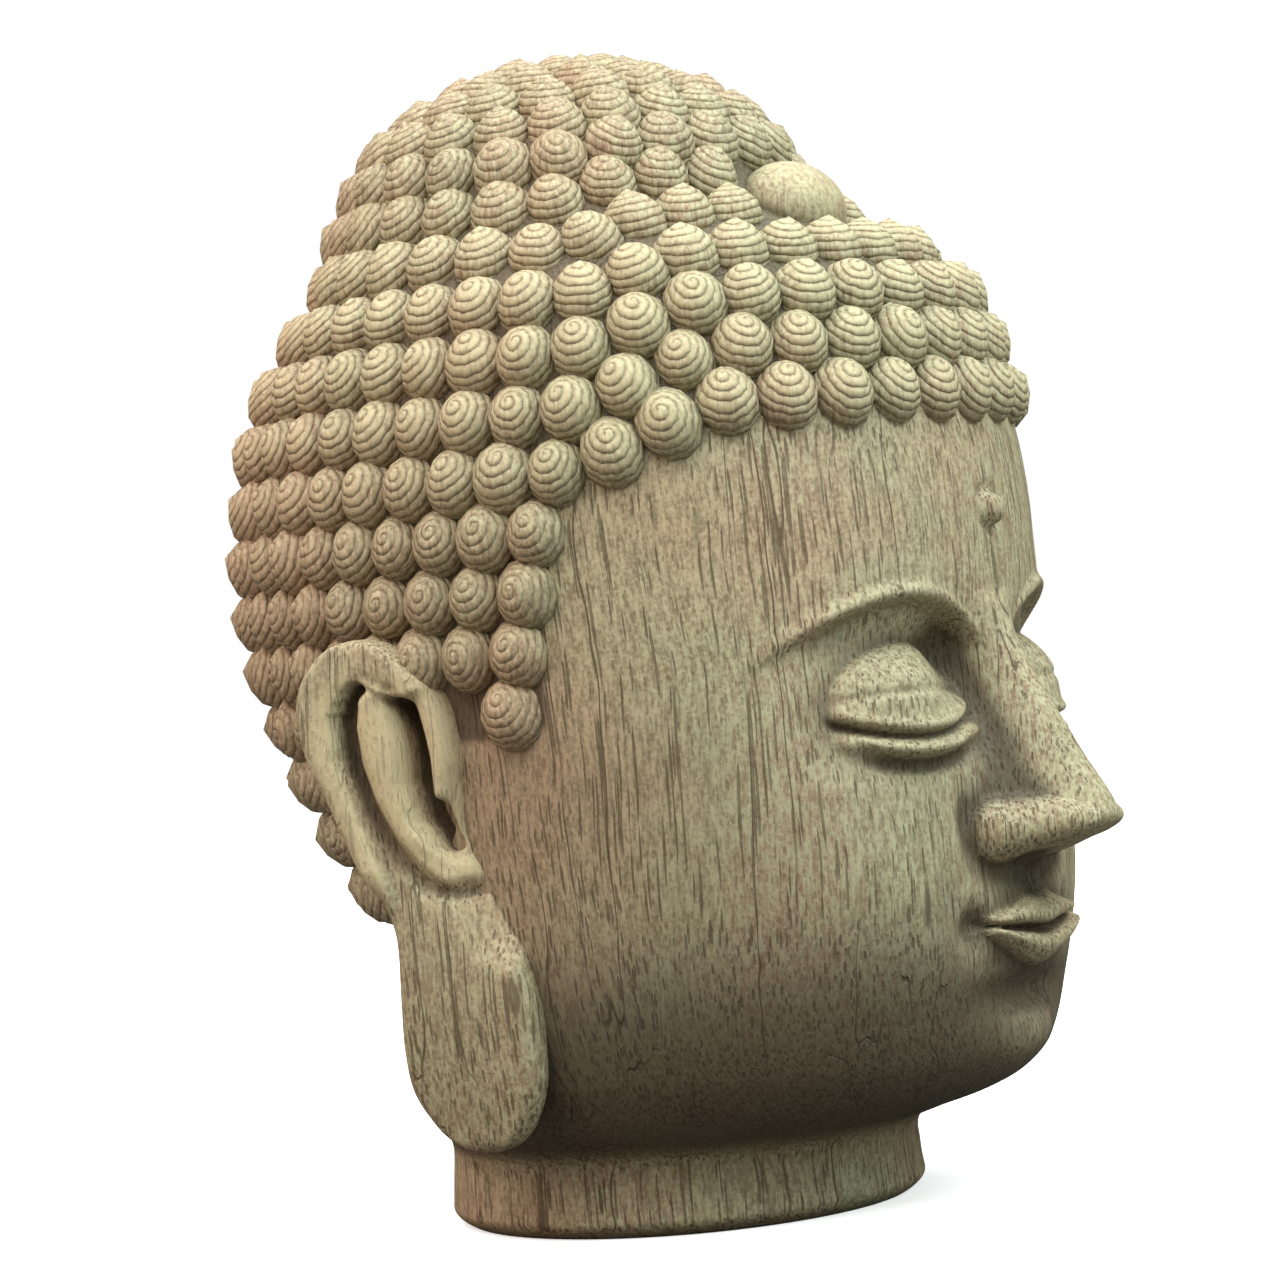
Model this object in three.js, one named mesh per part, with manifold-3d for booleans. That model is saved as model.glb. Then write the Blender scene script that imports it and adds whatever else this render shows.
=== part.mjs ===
// A carved wooden Buddha head, one solid with its neck cut flat at the bottom.
// Millimetres, +Z up, the origin at the centre of the flat underside, the face looks along -Y.
import * as THREE from "three";
import { mergeVertices } from "three/addons/utils/BufferGeometryUtils.js";
import Module from "manifold-3d";

const wasm = await Module();
wasm.setup();

// Overall sizes
const BALD_HEIGHT = 116;
const FOOT_ROUNDING = 1.8;
const SKULL_LEVEL = 66;
const CROWN_LEVEL = 93;
const CROWN_WAIST_LEVEL = 101;
const CROWN_WAIST_DEPTH = 0.15;
const CROWN_SET_BACK = 3.9;
const FOREHEAD_SET_FORWARD = 1.2;

// Curls of the hair
const CURL_PITCH = 5.7;
const CURL_HEIGHT = 2.7;
const CURL_TOP_SHARE = 0.62;
const CURL_CORNERS = 4;
const CURL_PIT = 0.1;
const FRONT_ROW_LEVEL = 79.6;
const SIDE_ROW_LEVEL = 74.2;
const ROW_STEP_BELOW = 5.55;
const ROWS_TO_CROWN = 11;
const ROWS_BELOW = 7;
const EDGE_TURN_START = 40;
const EDGE_TURN_END = 70;
const SIDE_EDGE_ANGLE = 72.5;
const SIDE_EDGE_LEAN = 2.2;
const BEHIND_EAR_ANGLE = 102;
const SIDEBURN_LEVEL = 49.5;
const UNDER_SKIN = 7;
const UNDER_HAIR = 2.5;
const UNDER_HAIR_TOP = 86;
const NAPE_LEVEL = 33;

// The smooth jewel in front of the crown
const JEWEL_LEVEL = 99.8;
const JEWEL_HALF_WIDTH = 6.2;
const JEWEL_HALF_HEIGHT = 5.2;
const JEWEL_STAND_OUT = 4.3;

// Ears
const EAR_HEIGHT = 50;
const EAR_BOTTOM = 10.3;
const EAR_MIDDLE = 1.4;
const EAR_THICKNESS = 4.4;
const HELIX_WIDTH = 2.6;
const HELIX_STAND_OUT = 1.5;
const BOWL_DEPTH = 3.2;

// The face, laid out by thirds below the hairline
const BROW_LEVEL = 60;
const EYE_LEVEL = 50;
const EYE_FROM_MIDDLE = 13.6;
const EYE_HALF_WIDTH = 8.6;
const EYE_HALF_HEIGHT = 5.6;
const EYE_STAND_OUT = 2.7;
const LID_LINE_LEVEL = 46.6;
const LID_LINE_DEPTH = 1.05;
const NOSE_TIP_LEVEL = 38.2;
const NOSE_STAND_OUT = 8.6;
const WING_FROM_MIDDLE = 5.5;
const MOUTH_LEVEL = 27;
const MOUTH_HALF_WIDTH = 8.6;
const CHIN_LEVEL = 15.6;
const FOREHEAD_DOT_LEVEL = 67.8;
const FOREHEAD_DOT_RADIUS = 1.75;

const WOOD_COLOUR = 0x9c8a68;

// Sections of the bald head as shares of its height: level, depth in front, half width, depth behind,
// and how square the front half is
const SECTIONS = [
  { at: 0.0, front: 0.2112, half: 0.2112, back: 0.2112, square: 2.0 },
  { at: 0.0388, front: 0.2069, half: 0.2078, back: 0.2078, square: 2.0 },
  { at: 0.0647, front: 0.2112, half: 0.2103, back: 0.2034, square: 2.0 },
  { at: 0.0776, front: 0.2431, half: 0.2241, back: 0.1983, square: 2.05 },
  { at: 0.0905, front: 0.2828, half: 0.2397, back: 0.1966, square: 2.12 },
  { at: 0.1078, front: 0.3138, half: 0.2534, back: 0.1948, square: 2.2 },
  { at: 0.1379, front: 0.3353, half: 0.269, back: 0.1931, square: 2.3 },
  { at: 0.1897, front: 0.3448, half: 0.281, back: 0.1914, square: 2.38 },
  { at: 0.2586, front: 0.3491, half: 0.2897, back: 0.1983, square: 2.4 },
  { at: 0.3276, front: 0.3517, half: 0.2966, back: 0.244, square: 2.4 },
  { at: 0.3966, front: 0.3517, half: 0.3017, back: 0.2931, square: 2.35 },
  { at: 0.4655, front: 0.3509, half: 0.3052, back: 0.3293, square: 2.3 },
  { at: 0.5172, front: 0.3526, half: 0.3069, back: 0.3474, square: 2.25 },
  { at: 0.569, front: 0.3534, half: 0.3069, back: 0.3552, square: 2.2 },
];

// Small functions
const clamp = (t, low, high) => Math.min(high, Math.max(low, t));
const degrees = (angle) => (angle * Math.PI) / 180;

function smooth(t) {
  const u = clamp(t, 0, 1);
  return u * u * (3 - 2 * u);
}

function hill(across, up, wide, high) {
  return Math.exp(-((across / wide) ** 2 + (up / high) ** 2));
}

// A smooth curve through the stations, its slope at each one taken from the two neighbours.
function through(stations, x, key) {
  const last = stations.length - 1;
  let i = 0;
  while (i < last - 1 && x > stations[i + 1].at) i += 1;
  const slope = (j) => {
    const a = stations[Math.max(j - 1, 0)];
    const b = stations[Math.min(j + 1, last)];
    return (b[key] - a[key]) / (b.at - a.at);
  };
  const p = stations[i];
  const q = stations[i + 1];
  const h = q.at - p.at;
  const t = clamp((x - p.at) / h, 0, 1);
  return (
    (1 + 2 * t) * (1 - t) ** 2 * p[key] +
    t * (1 - t) ** 2 * h * slope(i) +
    t * t * (3 - 2 * t) * q[key] +
    t * t * (t - 1) * h * slope(i + 1)
  );
}

// How far the face stands out of the plain head; x across and z up, the same on both sides.
const NOSE_RIDGE = [
  { at: 30.0, out: 0.0, half: 4.5 },
  { at: 33.0, out: 0.07, half: 4.5 },
  { at: 34.6, out: 0.53, half: 4.4 },
  { at: 36.5, out: 0.95, half: 4.3 },
  { at: NOSE_TIP_LEVEL, out: 1.0, half: 4.2 },
  { at: 44.0, out: 0.7, half: 3.5 },
  { at: 50.0, out: 0.41, half: 3.1 },
  { at: 55.0, out: 0.19, half: 3.4 },
  { at: 60.0, out: 0.0, half: 4.0 },
];

// How far the brow line has fallen below its highest point, at a distance from the middle
function browFall(s) {
  return s < 14 ? 4.4 * ((s - 14) / 10.5) ** 2 : 5.4 * ((s - 14) / 13.5) ** 2;
}

function faceRelief(x, z) {
  const s = Math.abs(x);
  let d = 0;

  // Brow edge and the hollow under it
  const below = BROW_LEVEL - browFall(s) - z;
  const across = smooth((s - 2.2) / 3) * (1 - smooth((s - 20) / 9));
  d -= 1.5 * smooth(below / 1.5) * across * (1 - smooth((50.5 - z) / 9));
  d -= 2.9 * hill(s - 7.2, z - 52.6, 3.9, 4.2);
  d -= 1.3 * hill(s - 12.5, z - 55.6, 8, 2.6);
  d += 0.55 * Math.exp(-(((below + 0.35) / 0.9) ** 2)) * across;

  // Lowered lid over the eye, the line where the lids meet, the lower lid
  const eyeAcross = (s - EYE_FROM_MIDDLE) / EYE_HALF_WIDTH;
  const eyeUp = (z - EYE_LEVEL) / EYE_HALF_HEIGHT;
  d += EYE_STAND_OUT * clamp(1 - eyeAcross ** 2 - eyeUp ** 2, 0, 1) ** 0.62;
  const line = LID_LINE_LEVEL + 1.9 * eyeAcross ** 2;
  const wide = 1 - smooth((Math.abs(s - EYE_FROM_MIDDLE) - 7.4) / 1.8);
  d -= LID_LINE_DEPTH * Math.exp(-(((z - line) / 0.5) ** 2)) * wide;
  d += 0.85 * Math.exp(-(((z - line + 1.35) / 0.8) ** 2)) * wide;

  // Nose
  if (z > 30 && z < 60) {
    const ridge = NOSE_STAND_OUT * through(NOSE_RIDGE, z, "out");
    const half = through(NOSE_RIDGE, z, "half");
    d += ridge * Math.exp(-((s / half) ** 2.7)) + 0.22 * ridge * Math.exp(-((s / 8) ** 2));
  }
  const wing = 1 - ((s - WING_FROM_MIDDLE) / 3.9) ** 2 - ((z - 36.8) / 3.5) ** 2;
  d += 2.9 * clamp(wing, 0, 1) ** 0.75;

  // Lips, the groove above them, the corners and the fold below
  d += 1.9 * hill(x, z - MOUTH_LEVEL, 12.5, 7.5);
  const share = clamp(s / MOUTH_HALF_WIDTH, 0, 1);
  const meet = MOUTH_LEVEL + share ** 2;
  const inside = 1 - smooth((s - MOUTH_HALF_WIDTH + 1.4) / 1.6);
  const upper = 2.9 * (1 - share ** 1.7) + 0.4;
  const lower = 3.6 * (1 - share ** 2) + 0.3;
  if (z > meet) d += 1.7 * Math.sin(Math.PI * clamp((z - meet) / upper, 0, 1) ** 0.75) ** 0.8 * inside;
  else d += 2.0 * Math.sin(Math.PI * clamp((meet - z) / lower, 0, 1) ** 0.8) ** 0.8 * inside;
  d -= 0.9 * Math.exp(-(((z - meet) / 0.5) ** 2)) * inside;
  d -= 1.3 * hill(s - MOUTH_HALF_WIDTH - 1, z - 28, 1.7, 1.9);
  d -= 1.6 * hill(x, z - 20.9, 7, 1.9);

  // Chin and cheeks
  d += 2.2 * hill(x, z - CHIN_LEVEL, 7.5, 4);
  d += 1.3 * hill(s - 19, z - 33, 9, 9);
  return d;
}

// The bald head: theta is 0 at the nose and grows towards +X.
function headSection(z) {
  const at = clamp(z, 0, SKULL_LEVEL) / BALD_HEIGHT;
  const rise = clamp((z - SKULL_LEVEL) / (BALD_HEIGHT - SKULL_LEVEL), 0, 1);
  const waist = 1 - CROWN_WAIST_DEPTH * Math.exp(-(((z - CROWN_WAIST_LEVEL) / 7.5) ** 2));
  const rounder = smooth((z - 84) / 22);
  const k = Math.sqrt(1 - rise * rise) * waist * (1 - 0.035 * rounder) * BALD_HEIGHT;
  const square = through(SECTIONS, at, "square");
  return {
    front: k * through(SECTIONS, at, "front"),
    half: k * through(SECTIONS, at, "half") * (1 + 0.13 * rounder),
    back: k * through(SECTIONS, at, "back"),
    square: square + (2 - square) * smooth((z - 76) / 14),
    shift:
      CROWN_SET_BACK * smooth((z - CROWN_LEVEL) / 10) -
      FOREHEAD_SET_FORWARD * Math.exp(-(((z - CROWN_LEVEL + 2) / 6) ** 2)),
  };
}

function headPoint(theta, z, carved) {
  const cut = headSection(z);
  if (cut.half < 1e-3) return new THREE.Vector3(0, cut.shift, z);
  const c = Math.cos(theta);
  const s = Math.sin(theta);
  const power = c >= 0 ? cut.square : 2;
  const depth = c >= 0 ? cut.front : cut.back;
  let r = (Math.abs(s / cut.half) ** power + Math.abs(c / depth) ** power) ** (-1 / power);
  if (carved) {
    const onFace = smooth((c - 0.05) / 0.25) * smooth((z - 8.5) / 3) * (1 - smooth((z - 76) / 4));
    r += faceRelief(r * s, z) * onFace;
    r -= FOOT_ROUNDING * clamp(1 - z / FOOT_ROUNDING, 0, 1) ** 2;
  }
  return new THREE.Vector3(r * s, cut.shift - r * c, z);
}

// The level above which hair covers the head: the forehead, the temple, then the nape.
function hairEdge(theta) {
  const turn = (Math.abs(theta) * 180) / Math.PI;
  const side = (turn - SIDE_EDGE_ANGLE - 2) / 5;
  const nape = (turn - BEHIND_EAR_ANGLE) / 4;
  const temple = edgeRowLevel(theta) + 1;
  const sideburn = SIDEBURN_LEVEL + 2;
  return temple + (sideburn - temple) * smooth(side) + (NAPE_LEVEL - sideburn) * smooth(nape);
}

// A level of the head bends with the brow, the lid line and the mouth where it passes them, and the head
// stays a little inside the bed of the hair.
function facePoint(theta, level) {
  const plain = headPoint(theta, level, false);
  const s = Math.abs(plain.x);
  if (level > hairEdge(theta)) {
    const inward = UNDER_HAIR * smooth((level - hairEdge(theta)) / 3);
    return new THREE.Vector3(plain.x - inward * Math.sin(theta), plain.y + inward * Math.cos(theta), level);
  }
  if (Math.cos(theta) < 0) return headPoint(theta, level, true);
  const brow = -Math.min(browFall(s), 4.2) * smooth(1 - Math.abs(level - BROW_LEVEL + 1) / 10);
  const eyeAcross = clamp((s - EYE_FROM_MIDDLE) / EYE_HALF_WIDTH, -1.2, 1.2);
  const lid = 1.9 * eyeAcross ** 2 * smooth(1 - Math.abs(level - LID_LINE_LEVEL) / 5);
  const lips = clamp(s / MOUTH_HALF_WIDTH, 0, 1.3) ** 2 * smooth(1 - Math.abs(level - MOUTH_LEVEL) / 4);
  return headPoint(theta, level + (brow + lid + lips) * (1 - smooth((s - 23) / 9)), true);
}

// Closed solids from points and triangles
function solidFrom(points, triangles) {
  const geometry = new THREE.BufferGeometry();
  const numbers = points.flatMap((p) => [p.x, p.y, p.z]);
  geometry.setAttribute("position", new THREE.Float32BufferAttribute(numbers, 3));
  geometry.setIndex(triangles.flat());
  return solidOf(geometry);
}

function solidOf(geometry) {
  geometry.deleteAttribute("normal");
  geometry.deleteAttribute("uv");
  const merged = mergeVertices(geometry, 1e-4);
  return new wasm.Manifold(
    new wasm.Mesh({
      numProp: 3,
      vertProperties: merged.attributes.position.array,
      triVerts: new Uint32Array(merged.index.array),
    }),
  );
}

// Rings of equal length, one above the other, closed by a point at each end.
function loft(rings, low, high) {
  const n = rings[0].length;
  const points = [...rings.flat(), low, high];
  const lowest = points.length - 2;
  const highest = points.length - 1;
  const triangles = [];
  for (let j = 0; j < n; j += 1) {
    const k = (j + 1) % n;
    triangles.push([lowest, k, j]);
    for (let i = 0; i + 1 < rings.length; i += 1) {
      const a = i * n;
      triangles.push([a + j, a + k, a + n + k], [a + j, a + n + k, a + n + j]);
    }
    const top = (rings.length - 1) * n;
    triangles.push([top + j, top + k, highest]);
  }
  return solidFrom(points, triangles);
}

// Head and neck: columns stand close together at the nose, eyes and mouth, levels likewise.
function steps(from, spans) {
  const list = [from];
  let start = from;
  for (const [end, count] of spans) {
    for (let i = 1; i <= count; i += 1) list.push(start + ((end - start) * i) / count);
    start = end;
  }
  return list;
}

function makeHead() {
  const half = steps(0, [[4.5, 2], [10, 2], [27, 5], [38, 1], [58, 2], [90, 3], [180, 3]]);
  const angles = [...half.slice(1, -1).reverse().map((a) => -a), ...half];
  const levels = steps(0, [
    [FOOT_ROUNDING, 2],
    [7.5, 1],
    [12.5, 2],
    [24, 2],
    [MOUTH_LEVEL, 2],
    [30.5, 3],
    [34, 2],
    [36.6, 2],
    [44, 2],
    [LID_LINE_LEVEL, 2],
    [49, 2],
    [60.5, 5],
    [FOREHEAD_DOT_LEVEL, 2],
    [UNDER_HAIR_TOP, 3],
  ]);
  const rings = levels.map((z) => angles.map((a) => facePoint(degrees(a), z)));
  return loft(rings, new THREE.Vector3(0, 0, 0), new THREE.Vector3(0, 0, UNDER_HAIR_TOP));
}

// The hair: rows of curls. Row 0 runs along the forehead and sinks at the temples; rows above it close
// towards the crown, rows below it run behind the ears to the nape.
function edgeRowLevel(theta) {
  const turn = (Math.abs(theta) - degrees(EDGE_TURN_START)) / degrees(EDGE_TURN_END - EDGE_TURN_START);
  return FRONT_ROW_LEVEL + (SIDE_ROW_LEVEL - FRONT_ROW_LEVEL) * smooth(turn);
}

function rowLevel(theta, row) {
  const edge = edgeRowLevel(theta);
  if (row <= 0) return edge + row * ROW_STEP_BELOW;
  const rise = BALD_HEIGHT - SKULL_LEVEL;
  const start = Math.asin((edge - SKULL_LEVEL) / rise);
  const w = row / ROWS_TO_CROWN;
  return SKULL_LEVEL + rise * Math.sin(start + (Math.PI / 2 - start) * (w - 0.1 * w * (1 - w)));
}

function bed(theta, row) {
  return headPoint(theta, rowLevel(theta, row), false);
}

function outward(theta, row) {
  if (row >= ROWS_TO_CROWN) return new THREE.Vector3(0, 0, 1);
  const e = 0.02;
  const along = bed(theta + e, row).sub(bed(theta - e, row));
  const up = bed(theta, Math.min(row + e, ROWS_TO_CROWN)).sub(bed(theta, row - e));
  return along.cross(up).normalize();
}

// Spots from one angle to the other, both counted in.
function spread(from, to, count) {
  return steps(from, [[to, count]]);
}

function rowCurls(row) {
  if (row === ROWS_TO_CROWN) return [{ theta: 0, row, curl: true }];
  const level = Math.max(row, 0);
  const parts = 90;
  let round = 0;
  for (let i = 0; i < parts; i += 1) {
    round += bed((2 * Math.PI * i) / parts, level).distanceTo(bed((2 * Math.PI * (i + 1)) / parts, level));
  }
  const count = Math.round(round / CURL_PITCH);
  if (row >= 0) {
    const offset = row % 2 === 0 ? 0 : 0.5;
    const turns = spread(offset, count - 1 + offset, count - 1).map((i) => i / count);
    const angles = turns.map((turn) => 2 * Math.PI * (turn > 0.5 ? turn - 1 : turn));
    return angles.sort((p, q) => p - q).map((theta) => ({ theta, row, curl: true }));
  }
  // Below row 0 the hair starts at the temple on each side and runs round the back.
  const edge = degrees(SIDE_EDGE_ANGLE + SIDE_EDGE_LEAN * (-1 - row));
  const pitch = (2 * Math.PI) / count;
  const odd = row % 2 === 0 ? 0.5 : 0;
  const halfCount = Math.round((Math.PI - edge) / pitch - odd) + odd;
  const sideAngles = spread(edge, 2 * Math.PI - edge, Math.round(2 * halfCount));
  const hair = sideAngles.map((t) => (t > Math.PI ? t - 2 * Math.PI : t));
  const hidden = Math.max(2, Math.round((2 * edge) / pitch));
  const bare = spread(-edge, edge, hidden).slice(1, -1);
  const spots = [
    ...hair.map((theta) => ({ theta, row, curl: row >= -ROWS_BELOW && !behindEar(theta, row) })),
    ...bare.map((theta) => ({ theta, row, curl: false })),
  ];
  return spots.sort((p, q) => p.theta - q.theta);
}

// The ear grows out of the head here, so there are no curls under it.
function behindEar(theta, row) {
  const turn = Math.abs(theta);
  const level = rowLevel(theta, row);
  if (turn > degrees(BEHIND_EAR_ANGLE)) return false;
  if (level < SIDEBURN_LEVEL) return true;
  return level < EAR_BOTTOM + EAR_HEIGHT - 4 && turn > degrees(SIDE_EDGE_ANGLE + 13);
}

// Triangles between two rings of spots, always across the shorter of the two diagonals.
function stitch(lower, upper) {
  const triangles = [];
  const n = lower.length;
  const m = upper.length;
  if (m === 1) {
    for (let i = 0; i < n; i += 1) triangles.push([lower[i], lower[(i + 1) % n], upper[0]]);
    return triangles;
  }
  let i = 0;
  let j = 0;
  while (i < n || j < m) {
    const a = lower[i % n];
    const b = upper[j % m];
    const nextA = lower[(i + 1) % n];
    const nextB = upper[(j + 1) % m];
    const stepLower = nextA.at.distanceTo(b.at);
    const stepUpper = nextB.at.distanceTo(a.at);
    if (j === m || (i < n && stepLower <= stepUpper)) {
      triangles.push([a, nextA, b]);
      i += 1;
    } else {
      triangles.push([a, nextB, b]);
      j += 1;
    }
  }
  return triangles;
}

// The flat top of a curl, with one corner up, and which corner each pit round it belongs to
function addTop(spot, add, face) {
  const order = [];
  let [neighbour] = spot.pits.keys();
  for (let i = 0; i < spot.pits.size; i += 1) {
    const { pit, next } = spot.pits.get(neighbour);
    order.push(pit);
    neighbour = next;
  }
  const up = order.reduce((best, pit, i) => (pit.at.z > order[best].at.z ? i : best), 0);
  const turned = [...order.slice(up), ...order.slice(0, up)];
  const groups = Array.from({ length: CURL_CORNERS }, () => []);
  turned.forEach((pit, i) => {
    const corner = Math.floor((i * CURL_CORNERS + 2) / turned.length) % CURL_CORNERS;
    groups[corner].push(pit);
  });
  spot.corners = new Map();
  const top = groups.map((pits) => {
    const middle = pits.reduce((sum, pit) => sum.add(pit.at), new THREE.Vector3()).divideScalar(pits.length);
    const index = add(spot.at.clone().lerp(middle, CURL_TOP_SHARE), spot.out, CURL_HEIGHT);
    for (const pit of pits) spot.corners.set(pit, index);
    return index;
  });
  for (let i = 1; i + 1 < top.length; i += 1) face(top[0], top[i], top[i + 1]);
}

// Each curl is a stud: a flat top on sides that go down to the pits round it.
function makeHair(jewelCentre) {
  const rings = [];
  const points = [];
  const triangles = [];
  const add = (at, out, height) => points.push(at.clone().addScaledVector(out, height)) - 1;
  const face = (a, b, c) => {
    if (a !== b && b !== c && c !== a) triangles.push([a, b, c]);
  };
  for (let row = -ROWS_BELOW - 1; row <= ROWS_TO_CROWN; row += 1) {
    const ring = rowCurls(row);
    for (const spot of ring) {
      spot.at = bed(spot.theta, row);
      spot.out = outward(spot.theta, row);
      const underJewel = spot.at.distanceTo(jewelCentre) < JEWEL_HALF_WIDTH;
      if (underJewel) spot.curl = false;
      if (!spot.curl) spot.centre = add(spot.at, spot.out, underJewel ? -1 : -UNDER_SKIN);
      spot.pits = new Map();
    }
    rings.push(ring);
  }
  for (let r = 0; r + 1 < rings.length; r += 1) {
    for (const [a, b, c] of stitch(rings[r], rings[r + 1])) {
      const at = a.at.clone().add(b.at).add(c.at).multiplyScalar(1 / 3);
      const out = a.out.clone().add(b.out).add(c.out).normalize();
      const curls = [a, b, c].filter((spot) => spot.curl).length;
      const pit = { at, index: add(at, out, curls === 3 ? CURL_PIT : curls > 0 ? -1 : -UNDER_SKIN) };
      for (const [p, q, s] of [[a, b, c], [b, c, a], [c, a, b]]) {
        p.pits.set(q, { pit, next: s });
      }
    }
  }
  for (const spot of rings.flat()) if (spot.curl) addTop(spot, add, face);
  for (const spot of rings.flat()) {
    for (const { pit, next } of spot.pits.values()) {
      const following = spot.pits.get(next);
      if (!following) continue;
      const near = spot.curl ? spot.corners.get(pit) : spot.centre;
      const far = spot.curl ? spot.corners.get(following.pit) : spot.centre;
      face(near, pit.index, following.pit.index);
      face(near, following.pit.index, far);
    }
  }
  // The lowest ring lies under the skin and is closed by a fan.
  const lowest = rings[0];
  const centre = points.push(new THREE.Vector3(0, 0, lowest[0].at.z)) - 1;
  for (let i = 0; i < lowest.length; i += 1) {
    const a = lowest[i];
    const b = lowest[(i + 1) % lowest.length];
    const { pit } = a.pits.get(b);
    face(a.centre, b.centre, pit.index);
    face(centre, b.centre, a.centre);
  }
  return solidFrom(points, triangles);
}

// The jewel: a smooth oval dome whose axis is square to the hair in front of the crown.
function jewelPlace() {
  const at = headPoint(0, JEWEL_LEVEL, false);
  const e = 0.5;
  const up = headPoint(0, JEWEL_LEVEL + e, false).sub(headPoint(0, JEWEL_LEVEL - e, false)).normalize();
  const across = new THREE.Vector3(1, 0, 0);
  return { at, up, across, out: across.clone().cross(up) };
}

function makeJewel(place) {
  const geometry = new THREE.SphereGeometry(1, 12, 6);
  geometry.scale(JEWEL_HALF_WIDTH, JEWEL_STAND_OUT, JEWEL_HALF_HEIGHT);
  const turn = new THREE.Matrix4().makeBasis(place.across, place.out.clone().negate(), place.up);
  geometry.applyMatrix4(turn);
  geometry.translate(place.at.x, place.at.y, place.at.z);
  return solidOf(geometry);
}

// The small round dot on the forehead
function makeDot() {
  const geometry = new THREE.SphereGeometry(FOREHEAD_DOT_RADIUS, 8, 4);
  geometry.rotateX(Math.PI / 2);
  const at = headPoint(0, FOREHEAD_DOT_LEVEL, true);
  geometry.translate(at.x, at.y + 0.5, at.z);
  return solidOf(geometry);
}

// The ear's outline and the lines on it as shares of its height: the front and back edge, how far it
// stands out and flares, and the middle of the bowl, of the inner ridge and of the groove behind it.
const EAR_LINES = [
  { at: 0.0, front: -0.03, back: 0.014, out: 0.69, flare: 0.1 },
  { at: 0.04, front: -0.084, back: 0.083, out: 0.698, flare: 0.1 },
  { at: 0.12, front: -0.133, back: 0.142, out: 0.712, flare: 0.12 },
  { at: 0.28, front: -0.143, back: 0.13, out: 0.734, flare: 0.16 },
  { at: 0.42, front: -0.115, back: 0.117, out: 0.742, flare: 0.22 },
  { at: 0.54, front: -0.066, back: 0.154, out: 0.738, flare: 0.28 },
  { at: 0.66, front: -0.05, back: 0.2, out: 0.736, flare: 0.32 },
  { at: 0.86, front: -0.038, back: 0.249, out: 0.74, flare: 0.34 },
  { at: 0.95, front: 0.03, back: 0.212, out: 0.742, flare: 0.34 },
  { at: 1.0, front: 0.1, back: 0.16, out: 0.742, flare: 0.34 },
];
const BOWL_LINES = [
  { at: 0.56, bowl: 0.0, wide: 0.006, ridge: 0.0, groove: 0.05 },
  { at: 0.62, bowl: 0.012, wide: 0.024, ridge: 0.046, groove: 0.09 },
  { at: 0.74, bowl: 0.024, wide: 0.03, ridge: 0.088, groove: 0.14 },
  { at: 0.88, bowl: 0.044, wide: 0.04, ridge: 0.104, groove: 0.15 },
];

function earRelief(p, v) {
  const share = clamp(v, BOWL_LINES[0].at, 0.88);
  const upper = smooth((v - 0.5) / 0.08);
  const fromEdge = Math.min(through(EAR_LINES, v, "back") - p, (1 - v) * 1.1) * EAR_HEIGHT;
  const helix = 1 - smooth((fromEdge - HELIX_WIDTH) / 1.2);
  const line = (key) => through(BOWL_LINES, share, key);
  const bowl = Math.exp(-(((p - line("bowl")) / line("wide")) ** 4)) * smooth((0.95 - v) / 0.05);
  const ridge = Math.exp(-(((p - line("ridge")) / 0.03) ** 2)) * smooth((0.92 - v) / 0.08);
  const groove = Math.exp(-(((p - line("groove")) / 0.03) ** 2));
  return upper * (HELIX_STAND_OUT * helix - BOWL_DEPTH * bowl + ridge - 0.8 * groove * (1 - helix));
}

// The levels across the ear keep to its lines from the bowl up and are spread evenly on the lobe.
function earShares(v) {
  const front = through(EAR_LINES, v, "front");
  const back = through(EAR_LINES, v, "back");
  const rim = HELIX_WIDTH / EAR_HEIGHT;
  const line = (key) => through(BOWL_LINES, clamp(v, BOWL_LINES[0].at, 0.88), key);
  const onLines = [
    front,
    line("bowl") - line("wide"),
    line("bowl"),
    line("bowl") + line("wide"),
    line("ridge"),
    line("groove"),
    back - rim,
    back - rim / 2.5,
    back,
  ];
  const w = smooth((v - 0.52) / 0.06) * smooth((0.95 - v) / 0.06);
  return onLines.map((p, i) => {
    const even = front + ((back - front) * (1 - Math.cos((Math.PI * i) / 8))) / 2;
    return clamp(p, front, back) * w + even * (1 - w);
  });
}

// One ear on the +X side: rings from the lobe to the top, each over the outer face, round the back edge
// and along the inner face.
function makeEar() {
  const heights = steps(0, [[0.04, 1], [0.12, 1], [0.42, 2], [0.56, 2], [0.88, 4], [0.95, 1], [1, 1]]);
  const rings = heights.map((v) => {
    const out = through(EAR_LINES, v, "out") * EAR_HEIGHT;
    const flare = through(EAR_LINES, v, "flare");
    const front = through(EAR_LINES, v, "front");
    const back = through(EAR_LINES, v, "back");
    const z = EAR_BOTTOM + EAR_HEIGHT * v;
    const place = (p, height) =>
      new THREE.Vector3(out + flare * p * EAR_HEIGHT + height, EAR_MIDDLE + p * EAR_HEIGHT, z);
    const round = (p) => {
      const across = clamp((p - front) / (back - front), 0, 1);
      return -1.6 * (2 * across - 1) ** 4 * (1 - smooth((v - 0.5) / 0.1)) - 1.2 * smooth((0.06 - v) / 0.06);
    };
    const outer = earShares(v).map((p) => place(p, earRelief(p, v) + round(p)));
    const thick = EAR_THICKNESS * (0.6 + 0.4 * Math.sin(Math.PI * v));
    const inner = [1, 0.5, 0].map((t) => place(front + (back - front) * t, -thick - (t === 0 ? 2 : 0)));
    return [...outer, ...inner];
  });
  const middle = (ring) => ring.reduce((sum, q) => sum.add(q), new THREE.Vector3()).divideScalar(ring.length);
  return loft(rings, middle(rings[0]), middle(rings[rings.length - 1]));
}

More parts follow.
